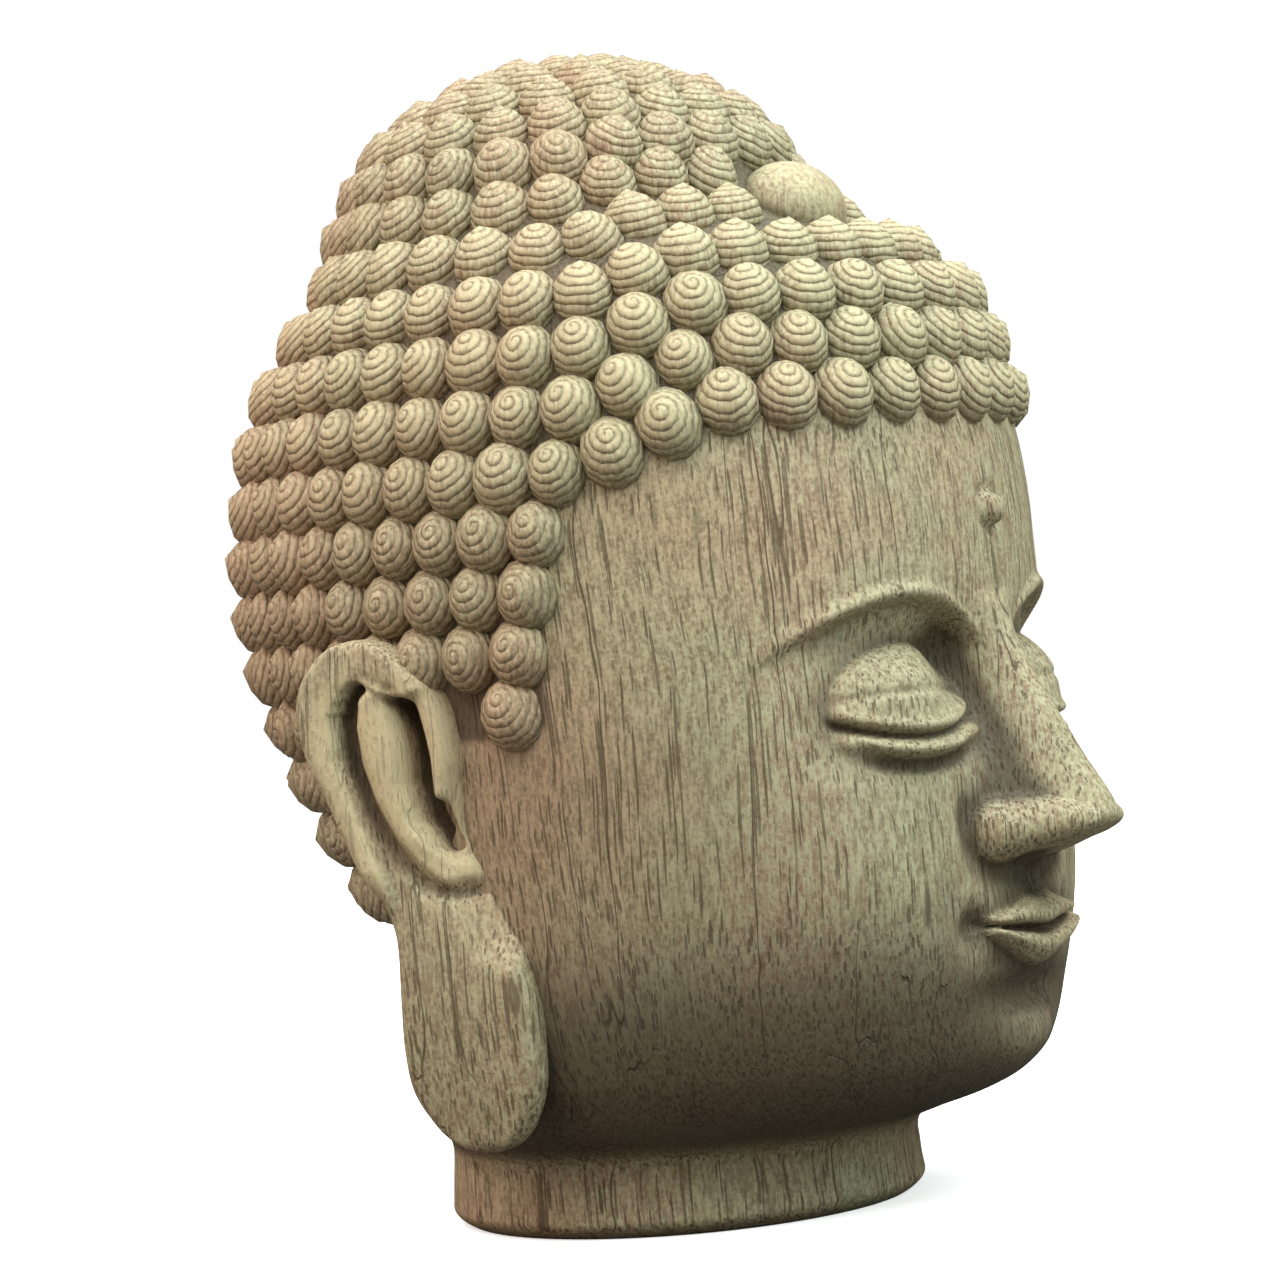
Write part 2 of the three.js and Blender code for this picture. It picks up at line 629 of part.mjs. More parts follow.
const place = jewelPlace();
const ear = makeEar();
const bust = makeHead()
  .add(makeHair(place.at))
  .add(makeJewel(place))
  .add(makeDot())
  .add(ear)
  .add(ear.mirror([1, 0, 0]));

function meshFrom(name, solid) {
  const made = solid.getMesh();
  const geometry = new THREE.BufferGeometry();
  const positions = new Float32Array(made.numVert * 3);
  for (let i = 0; i < made.numVert; i += 1) {
    positions.set(made.vertProperties.subarray(i * made.numProp, i * made.numProp + 3), i * 3);
  }
  geometry.setAttribute("position", new THREE.BufferAttribute(positions, 3));
  geometry.setIndex([...made.triVerts]);
  geometry.computeVertexNormals();
  const material = new THREE.MeshStandardMaterial({ color: WOOD_COLOUR, roughness: 0.65, metalness: 0 });
  const mesh = new THREE.Mesh(geometry, material);
  mesh.name = name;
  return mesh;
}

const head = new THREE.Group();
head.name = "carved_head";
head.add(meshFrom("buddha_head", bust));
export default head;
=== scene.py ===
# A Buddha head carved from one block of hardwood, as it looks on a pale table.
# Lengths in the pieces are millimetres until they are put into a mesh, which is in metres.
import math

import bpy
import numpy as np
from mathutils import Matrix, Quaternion, Vector


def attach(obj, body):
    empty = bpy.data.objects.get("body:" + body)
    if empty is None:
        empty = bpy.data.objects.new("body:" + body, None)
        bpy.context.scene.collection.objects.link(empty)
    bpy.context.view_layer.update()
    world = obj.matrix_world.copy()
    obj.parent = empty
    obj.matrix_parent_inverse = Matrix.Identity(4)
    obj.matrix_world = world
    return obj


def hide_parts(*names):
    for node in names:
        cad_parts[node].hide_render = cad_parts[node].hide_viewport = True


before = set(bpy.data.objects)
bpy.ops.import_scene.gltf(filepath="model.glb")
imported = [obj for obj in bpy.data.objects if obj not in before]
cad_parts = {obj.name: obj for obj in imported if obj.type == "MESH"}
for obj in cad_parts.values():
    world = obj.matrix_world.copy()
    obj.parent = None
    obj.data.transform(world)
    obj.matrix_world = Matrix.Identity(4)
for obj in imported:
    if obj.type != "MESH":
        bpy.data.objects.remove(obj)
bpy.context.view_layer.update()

# HEAD AND NECK
# The block itself: one piece of open-pored hardwood with its grain upright, sawn flat across the neck,
# cut to shape with gouges, scraped smooth and rubbed by hands for years, so dirt stays in the low places;
# these are painted darker for that dirt and for shade.
BALD_HEIGHT = 116.0
FOOT_ROUNDING = 1.8
SKULL_LEVEL = 66.0
CROWN_LEVEL = 93.0
CROWN_WAIST_LEVEL = 101.0
CROWN_WAIST_DEPTH = 0.15
CROWN_WAIST_REACH = 7.5
CROWN_SET_BACK = 3.9
CROWN_SET_BACK_REACH = 10.0
FOREHEAD_SET_FORWARD = 1.2
FOREHEAD_FORWARD_LEVEL = 91.0
FOREHEAD_FORWARD_REACH = 6.0

# From this level up the skull turns into the crown, its section a little smaller but wider for its depth
CROWN_TURN_LEVEL = 84.0
CROWN_TURN_REACH = 22.0
CROWN_SHRINK = 0.035
CROWN_WIDER = 0.13
# From this level up the square front turns round
SQUARE_END_LEVEL = 76.0
SQUARE_END_REACH = 14.0

# Level, depth in front, half width, depth behind, all as shares of the height, and squareness in front
SECTIONS = np.array([
    (0.0, 0.2112, 0.2112, 0.2112, 2.0),
    (0.0388, 0.2069, 0.2078, 0.2078, 2.0),
    (0.0647, 0.2112, 0.2103, 0.2034, 2.0),
    (0.0776, 0.2431, 0.2241, 0.1983, 2.05),
    (0.0905, 0.2828, 0.2397, 0.1966, 2.12),
    (0.1078, 0.3138, 0.2534, 0.1948, 2.2),
    (0.1379, 0.3353, 0.269, 0.1931, 2.3),
    (0.1897, 0.3448, 0.281, 0.1914, 2.38),
    (0.2586, 0.3491, 0.2897, 0.1983, 2.4),
    (0.3276, 0.3517, 0.2966, 0.244, 2.4),
    (0.3966, 0.3517, 0.3017, 0.2931, 2.35),
    (0.4655, 0.3509, 0.3052, 0.3293, 2.3),
    (0.5172, 0.3526, 0.3069, 0.3474, 2.25),
    (0.569, 0.3534, 0.3069, 0.3552, 2.2),
])

BROW_LEVEL = 60.0
BROW_TOP_FROM_MIDDLE = 14.0
BROW_EDGE_DEPTH = 1.5
BROW_RIM_HEIGHT = 0.6
EYE_LEVEL = 50.0
EYE_FROM_MIDDLE = 13.6
EYE_HALF_WIDTH = 8.6
EYE_HALF_HEIGHT = 5.6
EYE_STAND_OUT = 2.7
LID_LINE_LEVEL = 46.6
LID_LINE_DEPTH = 1.05
UPPER_LID_EDGE_HEIGHT = 0.4
UPPER_LID_CREASE_DEPTH = 0.28
LOWER_LID_HEIGHT = 0.85
LOWER_LID_CREASE_DEPTH = 0.4
NOSE_STAND_OUT = 8.6
WING_FROM_MIDDLE = 5.5
WING_LEVEL = 36.8
WING_HALF_WIDTH = 3.9
WING_HALF_HEIGHT = 3.5
WING_STAND_OUT = 2.9
LIP_GROOVE_DEPTH = 0.6
MOUTH_LEVEL = 27.0
MOUTH_HALF_WIDTH = 8.6
UPPER_LIP_HEIGHT = 2.9
UPPER_LIP_STAND_OUT = 1.7
LOWER_LIP_HEIGHT = 3.6
LOWER_LIP_STAND_OUT = 2.0
LIP_LINE_DEPTH = 0.9
CHIN_LEVEL = 15.6
FOREHEAD_DOT_LEVEL = 67.8
FOREHEAD_DOT_RADIUS = 1.75
FOREHEAD_DOT_STAND_OUT = 1.5
FOREHEAD_DOT_RING_DEPTH = 0.35

# Level, share of the full stand-out, half width
NOSE_RIDGE = np.array([
    (30.0, 0.0, 4.5),
    (33.0, 0.07, 4.5),
    (34.6, 0.53, 4.4),
    (36.5, 0.95, 4.3),
    (38.2, 1.0, 4.2),
    (44.0, 0.7, 3.5),
    (50.0, 0.41, 3.1),
    (55.0, 0.19, 3.4),
    (60.0, 0.0, 4.0),
])

# Height, distance from the middle, level, half width, half height
FACE_HILLS = np.array([
    (-2.9, 7.2, 52.6, 3.9, 4.2),  # hollow beside the root of the nose
    (-1.3, 12.5, 55.6, 8.0, 2.6),  # hollow under the brow
    (-0.8, 9.6, 37.6, 1.3, 3.2),  # fold behind the wing of the nose
    (-1.5, 3.4, 34.1, 1.6, 0.8),  # nostril
    (1.9, 0.0, MOUTH_LEVEL, 12.5, 7.5),  # swell that carries the lips
    (-1.3, MOUTH_HALF_WIDTH + 1.0, 28.0, 1.7, 1.9),  # corner of the mouth
    (-1.6, 0.0, 20.9, 7.0, 1.9),  # fold below the lips
    (2.2, 0.0, CHIN_LEVEL, 7.5, 4.0),  # chin
    (1.3, 19.0, 33.0, 9.0, 9.0),  # cheek
    (-0.4, 12.6, 29.5, 2.2, 5.0),  # soft fold beside the mouth
])


def smooth(t):
    """3t^2 - 2t^3 between 0 and 1, flat outside."""
    u = np.clip(t, 0, 1)
    return u * u * (3 - 2 * u)


def hill(across, up, wide, high):
    """A hill of height 1: e to the minus of the squared distance, measured in the hill's own widths."""
    return np.exp(-((across / wide) ** 2 + (up / high) ** 2))


def line_at(distance, wide):
    """A ridge of height 1 along a line: e to the minus of the squared distance from it."""
    return np.exp(-((distance / wide) ** 2))


def through(stations, x, column):
    """A cubic on each stretch between stations, its slope at each one taken from the two neighbours."""
    xs, ys = stations[:, 0], stations[:, column]
    slope = np.empty_like(ys)
    slope[1:-1] = (ys[2:] - ys[:-2]) / (xs[2:] - xs[:-2])
    slope[0] = (ys[1] - ys[0]) / (xs[1] - xs[0])
    slope[-1] = (ys[-1] - ys[-2]) / (xs[-1] - xs[-2])
    i = np.clip(np.searchsorted(xs, x) - 1, 0, len(xs) - 2)
    h = xs[i + 1] - xs[i]
    t = np.clip((x - xs[i]) / h, 0, 1)
    return (
        (1 + 2 * t) * (1 - t) ** 2 * ys[i]
        + t * (1 - t) ** 2 * h * slope[i]
        + t * t * (3 - 2 * t) * ys[i + 1]
        + t * t * (t - 1) * h * slope[i + 1]
    )


def steps(start, spans):
    """Numbers from the start through each span's end, each span in equal steps: (end, count)."""
    values = [np.array([start])]
    for end, count in spans:
        values.append(np.linspace(values[-1][-1], end, count + 1)[1:])
    return np.concatenate(values)


def face_relief(x, z):
    """How far the face stands out of the plain head, x across and z up: a sum of hills, ridges and grooves,
    the same on both sides."""
    s = np.abs(x)
    # Brow edge, falling to both sides of its top, and the hills and hollows of the whole face
    off_top = s - BROW_TOP_FROM_MIDDLE
    fall = np.where(off_top < 0, 4.4 * (off_top / 10.5) ** 2, 5.4 * (off_top / 13.5) ** 2)
    below = BROW_LEVEL - fall - z
    across = smooth((s - 2.2) / 3) * (1 - smooth((s - 20) / 9))
    d = -BROW_EDGE_DEPTH * smooth(below / 1.3) * across * (1 - smooth((50.5 - z) / 9))
    d += BROW_RIM_HEIGHT * line_at(below + 0.35, 0.75) * across
    for height, from_middle, level, wide, high in FACE_HILLS:
        d += height * hill(s - from_middle, z - level, wide, high)

    # Lowered lid over the eye with a crease above it, the line where the lids meet, the lower lid
    off_eye = s - EYE_FROM_MIDDLE
    eye_across = off_eye / EYE_HALF_WIDTH
    eye_up = (z - EYE_LEVEL) / EYE_HALF_HEIGHT
    d += EYE_STAND_OUT * np.clip(1 - eye_across**2 - eye_up**2, 0, 1) ** 0.62
    up = z - LID_LINE_LEVEL - 1.9 * eye_across**2
    wide = 1 - smooth((np.abs(off_eye) - 7.4) / 1.8)
    d -= LID_LINE_DEPTH * line_at(up, 0.42) * wide
    d += UPPER_LID_EDGE_HEIGHT * line_at(up - 0.95, 0.55) * wide
    d += LOWER_LID_HEIGHT * line_at(up + 1.35, 0.75) * wide
    d -= LOWER_LID_CREASE_DEPTH * line_at(up + 3.0, 0.65) * (1 - smooth((np.abs(off_eye) - 4.2) / 2.8))
    d -= UPPER_LID_CREASE_DEPTH * line_at(up - 4.4 + 2.4 * eye_across**2, 0.4) * wide

    # Nose: the ridge and the wings
    nose = (z > NOSE_RIDGE[0, 0]) & (z < NOSE_RIDGE[-1, 0])
    ridge = NOSE_STAND_OUT * through(NOSE_RIDGE, z, 1) * nose
    half = through(NOSE_RIDGE, z, 2)
    d += ridge * np.exp(-((s / half) ** 2.7)) + 0.22 * ridge * line_at(s, 8)
    wing = ((s - WING_FROM_MIDDLE) / WING_HALF_WIDTH) ** 2 + ((z - WING_LEVEL) / WING_HALF_HEIGHT) ** 2
    d += WING_STAND_OUT * np.clip(1 - wing, 0, 1) ** 0.75

    # Groove above the lips, then the lips as half waves on both sides of the line where they meet
    d -= LIP_GROOVE_DEPTH * line_at(s, 1.25) * smooth((z - 29.8) / 1.2) * (1 - smooth((z - 32.8) / 1.6))
    share = np.clip(s / MOUTH_HALF_WIDTH, 0, 1)
    lips = MOUTH_LEVEL + share**2 - 0.3 * line_at(s, 2.2)
    past_corner = s - MOUTH_HALF_WIDTH
    upper = UPPER_LIP_HEIGHT * (1 - share**1.7) + 0.4 + 0.4 * line_at(s - 2.4, 1.5)
    lower = LOWER_LIP_HEIGHT * (1 - share**2) + 0.3
    upper_lip = UPPER_LIP_STAND_OUT * np.sin(np.pi * np.clip((z - lips) / upper, 0, 1) ** 0.75) ** 0.8
    lower_lip = LOWER_LIP_STAND_OUT * np.sin(np.pi * np.clip((lips - z) / lower, 0, 1) ** 0.8) ** 0.8
    d += np.where(z > lips, upper_lip, lower_lip) * (1 - smooth((past_corner + 1.4) / 1.6))
    d -= LIP_LINE_DEPTH * line_at(z - lips, 0.42) * (1 - smooth((past_corner + 0.4) / 1.4))

    # The dot on the forehead in its shallow ring
    r = np.hypot(x, z - FOREHEAD_DOT_LEVEL)
    d += FOREHEAD_DOT_STAND_OUT * np.sqrt(np.clip(1 - (r / FOREHEAD_DOT_RADIUS) ** 2, 0, 1))
    d -= FOREHEAD_DOT_RING_DEPTH * line_at(r - FOREHEAD_DOT_RADIUS - 0.35, 0.45)
    return d


def head_section(z):
    """Depth in front, half width, depth behind, squareness and shift back at a level: a table up to the
    skull's level, then the same section shrunk as a quarter ellipse, with a waist under the crown."""
    at = np.clip(z, 0, SKULL_LEVEL) / BALD_HEIGHT
    rise = np.clip((z - SKULL_LEVEL) / (BALD_HEIGHT - SKULL_LEVEL), 0, 1)
    waist = 1 - CROWN_WAIST_DEPTH * line_at(z - CROWN_WAIST_LEVEL, CROWN_WAIST_REACH)
    rounder = smooth((z - CROWN_TURN_LEVEL) / CROWN_TURN_REACH)
    k = np.sqrt(1 - rise**2) * waist * (1 - CROWN_SHRINK * rounder) * BALD_HEIGHT
    front = k * through(SECTIONS, at, 1)
    half = k * through(SECTIONS, at, 2) * (1 + CROWN_WIDER * rounder)
    back = k * through(SECTIONS, at, 3)
    square = through(SECTIONS, at, 4)
    square = square + (2 - square) * smooth((z - SQUARE_END_LEVEL) / SQUARE_END_REACH)
    shift = CROWN_SET_BACK * smooth((z - CROWN_LEVEL) / CROWN_SET_BACK_REACH)
    shift = shift - FOREHEAD_SET_FORWARD * line_at(z - FOREHEAD_FORWARD_LEVEL, FOREHEAD_FORWARD_REACH)
    return front, half, back, square, shift


def plain_radius(theta, z):
    """Distance of the bald head's skin from its axis: a superellipse, square in front and round behind."""
    front, half, back, square, _ = head_section(z)
    s, c = np.sin(theta), np.cos(theta)
    power = np.where(c >= 0, square, 2.0)
    depth = np.maximum(np.where(c >= 0, front, back), 1e-4)
    return (np.abs(s / np.maximum(half, 1e-4)) ** power + np.abs(c / depth) ** power) ** (-1 / power)


def bald_head(theta, z):
    """Points of the bald head without its face; theta is 0 at the nose and grows towards +X."""
    theta, z = np.broadcast_arrays(np.asarray(theta, float), np.asarray(z, float))
    r = plain_radius(theta, z)
    shift = head_section(z)[4]
    return np.stack([r * np.sin(theta), shift - r * np.cos(theta), z], -1)


def blurred(values, reach, step):
    """The average round each point of a grid, weighted by a bell of the reach: a product of spectra."""
    across = np.fft.fftfreq(values.shape[0], step)[:, None]
    up = np.fft.rfftfreq(values.shape[1], step)[None, :]
    bell = np.exp(-2 * (math.pi * reach) ** 2 * (across**2 + up**2))
    return np.fft.irfft2(np.fft.rfft2(values) * bell, values.shape)


HOLLOW_GRID_STEP = 0.25


def hollow_of(relief, low, high, reach, x, z):
    """How far a relief lies under its own average round each point: worked out on a square grid between the
    low and the high corner and read off at x, z. Hollows come out above 0, edges below."""
    xs = np.arange(low[0], high[0], HOLLOW_GRID_STEP)
    zs = np.arange(low[1], high[1], HOLLOW_GRID_STEP)
    values = relief(xs[:, None], zs[None, :])
    under = blurred(values, reach, HOLLOW_GRID_STEP) - values
    i = np.clip((x - low[0]) / HOLLOW_GRID_STEP, 0, len(xs) - 2)
    j = np.clip((z - low[1]) / HOLLOW_GRID_STEP, 0, len(zs) - 2)
    a, b = i.astype(int), j.astype(int)
    p, q = i - a, j - b
    return (
        under[a, b] * (1 - p) * (1 - q)
        + under[a + 1, b] * p * (1 - q)
        + under[a, b + 1] * (1 - p) * q
        + under[a + 1, b + 1] * p * q
    )


# The hair covers the head above this level: the forehead, the temple, then the nape.
FRONT_ROW_LEVEL = 79.6
SIDE_ROW_LEVEL = 74.2
EDGE_TURN_START = 40.0
EDGE_TURN_END = 70.0
SIDE_EDGE_ANGLE = 72.5
BEHIND_EAR_ANGLE = 102.0
SIDEBURN_LEVEL = 49.5
NAPE_LEVEL = 33.0


def edge_row_level(theta):
    """The level of the row of curls at the hairline, a smooth step down from forehead to temple."""
    turn = (np.degrees(np.abs(theta)) - EDGE_TURN_START) / (EDGE_TURN_END - EDGE_TURN_START)
    return FRONT_ROW_LEVEL + (SIDE_ROW_LEVEL - FRONT_ROW_LEVEL) * smooth(turn)


def hair_edge(theta):
    """The level where skin ends and hair begins: a smooth step down at the temple, one behind the ear."""
    turn = np.degrees(np.abs(theta))
    temple = edge_row_level(theta) - 1.5
    down = (SIDEBURN_LEVEL - temple) * smooth((turn - SIDE_EDGE_ANGLE + 2) / 4)
    return temple + down + (NAPE_LEVEL - SIDEBURN_LEVEL) * smooth((turn - BEHIND_EAR_ANGLE) / 4)


def closed_rings(rings, low, high):
    """Vertices and faces of a body of equal rings stacked from low to high, with a point at each end."""
    count, around = rings.shape[:2]
    vertices = np.concatenate([rings.reshape(-1, 3), [low, high]])
    i = np.arange(count - 1)[:, None] * around
    j = np.arange(around)[None, :]
    k = (j + 1) % around
    quads = np.stack([i + j, i + k, i + k + around, i + j + around], -1).reshape(-1, 4)
    j, k = j[0], k[0]
    lowest = np.full(around, count * around)
    top = (count - 1) * around
    ends = np.concatenate([
        np.stack([lowest, k, j], -1),
        np.stack([top + j, top + k, lowest + 1], -1),
    ])
    return vertices, quads, ends


def wooden_piece(name, vertices, face_groups, hollow, material, places=None):
    """A smooth-shaded mesh in metres from arrays of corners and faces, with the depth of each corner in a
    hollow (millimetres) kept as the attribute hollow, which the wood darkens for dirt and painted shade and,
    below 0, lightens for wear and painted light; and for each face corner its place on a UV map where one is
    given.
    It stands for the carved head in the frame."""
    mesh = bpy.data.meshes.new(name)
    corners = np.concatenate([faces.ravel() for faces in face_groups])
    sizes = np.concatenate([np.full(len(faces), faces.shape[1]) for faces in face_groups])
    mesh.vertices.add(len(vertices))
    mesh.vertices.foreach_set("co", (vertices * 0.001).astype(np.float32).ravel())
    mesh.loops.add(len(corners))
    mesh.loops.foreach_set("vertex_index", corners.astype(np.int32))
    mesh.polygons.add(len(sizes))
    mesh.polygons.foreach_set("loop_start", (np.cumsum(sizes) - sizes).astype(np.int32))
    mesh.polygons.foreach_set("use_smooth", np.ones(len(sizes), bool))
    depth = mesh.attributes.new("hollow", "FLOAT", "POINT")
    depth.data.foreach_set("value", hollow.astype(np.float32))
    if places is not None:
        mesh.uv_layers.new(name="winding").data.foreach_set("uv", places.astype(np.float32).ravel())
    mesh.update(calc_edges=True)
    mesh.validate()
    mesh.materials.append(material)
    piece = bpy.data.objects.new(name, mesh)
    bpy.context.scene.collection.objects.link(piece)
    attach(piece, "root")
    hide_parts("buddha_head")


def node(tree, kind, place, inputs=(), **settings):
    """A shader node with its settings; an input is another node's output, or a number or colour."""
    made = tree.nodes.new(kind)
    made.location = place
    for key, value in settings.items():
        setattr(made, key, value)
    for key, value in dict(inputs).items():
        if isinstance(value, bpy.types.NodeSocket):
            tree.links.new(value, made.inputs[key])
        else:
            made.inputs[key].default_value = value
    return made


def sum_of(tree, place, operation, *values):
    """One step of arithmetic in a shader."""
    return node(tree, "ShaderNodeMath", place, dict(enumerate(values)), operation=operation).outputs[0]


def mixed(tree, place, share, a, b):
    """The second colour laid over the first in the given share."""
    inputs = {"Factor": share, 6: a, 7: b}
    return node(tree, "ShaderNodeMix", place, inputs, data_type="RGBA").outputs[2]


def between(tree, place, value, low, high):
    """0 below the low value and 1 above the high one, smooth in between."""
    inputs = {"Value": value, "From Min": low, "From Max": high}
    return node(tree, "ShaderNodeMapRange", place, inputs, interpolation_type="SMOOTHSTEP").outputs[0]


# Colours of the old wood, then its measures
# The pale wood is tinted greener in front and warmer behind, partly stain and partly painted light
PALE_IN_FRONT = (0.395, 0.368, 0.222, 1)
PALE_BEHIND = (0.445, 0.325, 0.200, 1)
COOL_BROWN = (0.205, 0.165, 0.090, 1)
WARM_BROWN = (0.238, 0.146, 0.085, 1)
OPEN_PORE = (0.060, 0.040, 0.018, 1)
# Dark brown of dirt and painted shade
DIRT_AND_SHADE_BROWN = (0.040, 0.026, 0.013, 1)
# Pale of rubbed wear and painted light
WEAR_AND_LIGHT_PALE = (0.55, 0.465, 0.27, 1)
GRAIN_DRIFT = 0.0030
LONG_PORE_SHARE = 0.8
SHORT_PORE_SHARE = 0.32
PORE_DARKNESS = 0.78
DIRT_AND_SHADE_DARKNESS = 0.82
GREENER_IN_FRONT = 3.2
WOOD_ROUGHNESS = 0.66
WAX_GLOSS = 0.32


def old_wood_group():
    """The wood's figure from the place in the block in metres, its grain upright, and the depth in a hollow.
    Pores are the inside of long upright cells: a cell pattern pressed together sideways, so they are streaks
    where the surface runs with the grain and dots where it is cut across. Fibres are upright noise, and a
    drying line is where another upright noise crosses its middle value."""
    tree = bpy.data.node_groups.new("old_wood", "ShaderNodeTree")
    tree.interface.new_socket("Vector", in_out="INPUT", socket_type="NodeSocketVector")
    for name in ("Hollow", "Wear and Light", "Pores"):
        tree.interface.new_socket(name, in_out="INPUT", socket_type="NodeSocketFloat")
    for name, kind in (("Color", "Color"), ("Roughness", "Float"), ("Height", "Float")):
        tree.interface.new_socket(name, in_out="OUTPUT", socket_type="NodeSocket" + kind)
    given = tree.nodes.new("NodeGroupInput").outputs
    place, hollow = given["Vector"], given["Hollow"]

    # The grain wanders a little, so its lines are not quite straight.
    drift = node(tree, "ShaderNodeTexNoise", (-1200, 0), {"Vector": place, "Scale": 42.0, "Detail": 2.0})
    off = node(
        tree, "ShaderNodeVectorMath", (-1000, 0),
        {0: drift.outputs["Color"], 1: (0.5, 0.5, 0.5)}, operation="SUBTRACT",
    ).outputs[0]
    shifted = node(
        tree, "ShaderNodeVectorMath", (-800, 0),
        {0: off, 1: (GRAIN_DRIFT, GRAIN_DRIFT, 0.0), 2: place}, operation="MULTIPLY_ADD",
    ).outputs[0]

    def grained(y, kind, across, up, output, **inputs):
        """A pattern in the wandering grain, with its own fineness across it and up it."""
        scale = {"Vector": shifted, "Scale": (across, across, up)}
        pressed = node(tree, "ShaderNodeMapping", (-600, y), scale, vector_type="POINT").outputs[0]
        return node(tree, kind, (-400, y), {"Vector": pressed, "Scale": 1.0, **inputs}).outputs[output]

    # Long open pores, and shorter finer ones between them
    rows = grained(-100, "ShaderNodeTexNoise", 190.0, 16.0, "Fac", Detail=2.0)
    width = sum_of(tree, (-200, 100), "MULTIPLY_ADD", rows, 0.5, 0.02)
    long_cells = grained(400, "ShaderNodeTexVoronoi", 2300.0, 44.0, "Distance")
    outside = sum_of(tree, (-300, 400), "SUBTRACT", long_cells, width)
    outside = between(tree, (-200, 400), outside, -0.05, 0.06)
    long_pores = sum_of(tree, (0, 400), "SUBTRACT", LONG_PORE_SHARE, outside)
    short_cells = grained(150, "ShaderNodeTexVoronoi", 2600.0, 700.0, "Distance")
    outside = between(tree, (-200, 150), short_cells, 0.20, 0.40)
    short_pores = sum_of(tree, (0, 150), "SUBTRACT", 1.0, outside)
    short_pores = sum_of(tree, (0, 250), "MULTIPLY", short_pores, SHORT_PORE_SHARE)

    # Long drying lines, in some parts of the block only
    field = grained(700, "ShaderNodeTexNoise", 230.0, 5.0, "Fac", Detail=2.0)
    off_line = sum_of(tree, (0, 700), "ABSOLUTE", sum_of(tree, (-200, 700), "SUBTRACT", field, 0.5))
    lines = sum_of(tree, (300, 700), "SUBTRACT", 1.0, between(tree, (150, 700), off_line, 0.002, 0.009))
    lines = sum_of(tree, (450, 700), "MULTIPLY", lines, between(tree, (300, 850), rows, 0.44, 0.58))

    # Fibres, the mottle of worn wood, broad bands, and stains greener in front than behind, partly stain and
    # partly painted light: the lit front cool, the shaded back warm
    fibres = grained(-350, "ShaderNodeTexNoise", 2300.0, 420.0, "Fac", Detail=3.0, Roughness=0.6)
    band = grained(-1100, "ShaderNodeTexNoise", 90.0, 9.0, "Fac", Detail=3.0)
    mottle = node(
        tree, "ShaderNodeTexNoise", (-400, -600),
        {"Vector": place, "Scale": 2300.0, "Detail": 2.0, "Roughness": 0.65},
    ).outputs["Fac"]
    stain_and_light_tint = node(
        tree, "ShaderNodeTexNoise", (-400, -850),
        {"Vector": place, "Scale": 28.0, "Detail": 3.0, "Roughness": 0.55},
    ).outputs["Fac"]
    # Stain and painted light: greener towards the front, warmer towards the back.
    back = node(tree, "ShaderNodeSeparateXYZ", (-400, -750), {0: place}).outputs["Y"]
    stain_and_light_tint = sum_of(tree, (-200, -850), "MULTIPLY_ADD", back, GREENER_IN_FRONT, stain_and_light_tint)

    # Colour: olive straw to brown by fibre and mottle, warmer in bands, then the pores, the dirt and painted
    # shade in the hollows, and the rubbed edges, pale with wear and painted light
    tone = sum_of(tree, (-200, -600), "MULTIPLY", mottle, 0.45)
    tone = sum_of(tree, (0, -400), "MULTIPLY_ADD", fibres, 0.55, tone)
    pale = mixed(tree, (200, -200), between(tree, (0, -900), stain_and_light_tint, 0.38, 0.64), PALE_IN_FRONT, PALE_BEHIND)
    brown = mixed(tree, (200, -450), between(tree, (0, -1100), band, 0.35, 0.65), COOL_BROWN, WARM_BROWN)
    wood = mixed(tree, (400, -300), between(tree, (200, -700), tone, 0.34, 0.64), brown, pale)
    pores = sum_of(tree, (200, 300), "MAXIMUM", long_pores, short_pores)
    pores = sum_of(tree, (250, 500), "MAXIMUM", pores, lines)
    pores = sum_of(tree, (300, 300), "MULTIPLY", pores, given["Pores"])
    dark = sum_of(tree, (400, 100), "MULTIPLY", pores, PORE_DARKNESS)
    wood = mixed(tree, (600, -200), dark, wood, OPEN_PORE)
    # Dirt and painted shade: the wood turns dark brown where the hollow attribute is high.
    deep = sum_of(tree, (0, -1300), "SUBTRACT", hollow, 0.12)
    deep = sum_of(tree, (200, -900), "MULTIPLY_ADD", mottle, 0.25, deep)
    dirt_and_shade = between(tree, (400, -800), deep, 0.04, 0.95)
    dirt_and_shade = sum_of(tree, (600, -800), "MULTIPLY", dirt_and_shade, DIRT_AND_SHADE_DARKNESS)
    wood = mixed(tree, (800, -200), dirt_and_shade, wood, DIRT_AND_SHADE_BROWN)
    # Rubbed wear and painted light: the wood turns pale where the hollow attribute is below 0.
    proud = sum_of(tree, (200, -1200), "MULTIPLY", hollow, -1.0)
    edge = between(tree, (400, -1100), proud, 0.03, 0.6)
    edge = sum_of(tree, (600, -1000), "MULTIPLY", edge, given["Wear and Light"])
    wood = mixed(tree, (1000, -200), edge, wood, WEAR_AND_LIGHT_PALE)

    # Rubbed edges shine a little more, pores less. The relief is the fibres with the pores sunk in them.
    rough = sum_of(tree, (800, -600), "MULTIPLY_ADD", edge, -0.14, WOOD_ROUGHNESS)
    rough = sum_of(tree, (1000, -600), "MULTIPLY_ADD", pores, 0.16, rough)
    height = sum_of(tree, (400, 400), "MULTIPLY", tone, 0.7)
    height = sum_of(tree, (600, 200), "MULTIPLY_ADD", pores, -1.0, height)
    result = tree.nodes.new("NodeGroupOutput").inputs
    for name, value in (("Color", wood), ("Roughness", rough), ("Height", height)):
        tree.links.new(value, result[name])
    return tree


old_wood = old_wood_group()


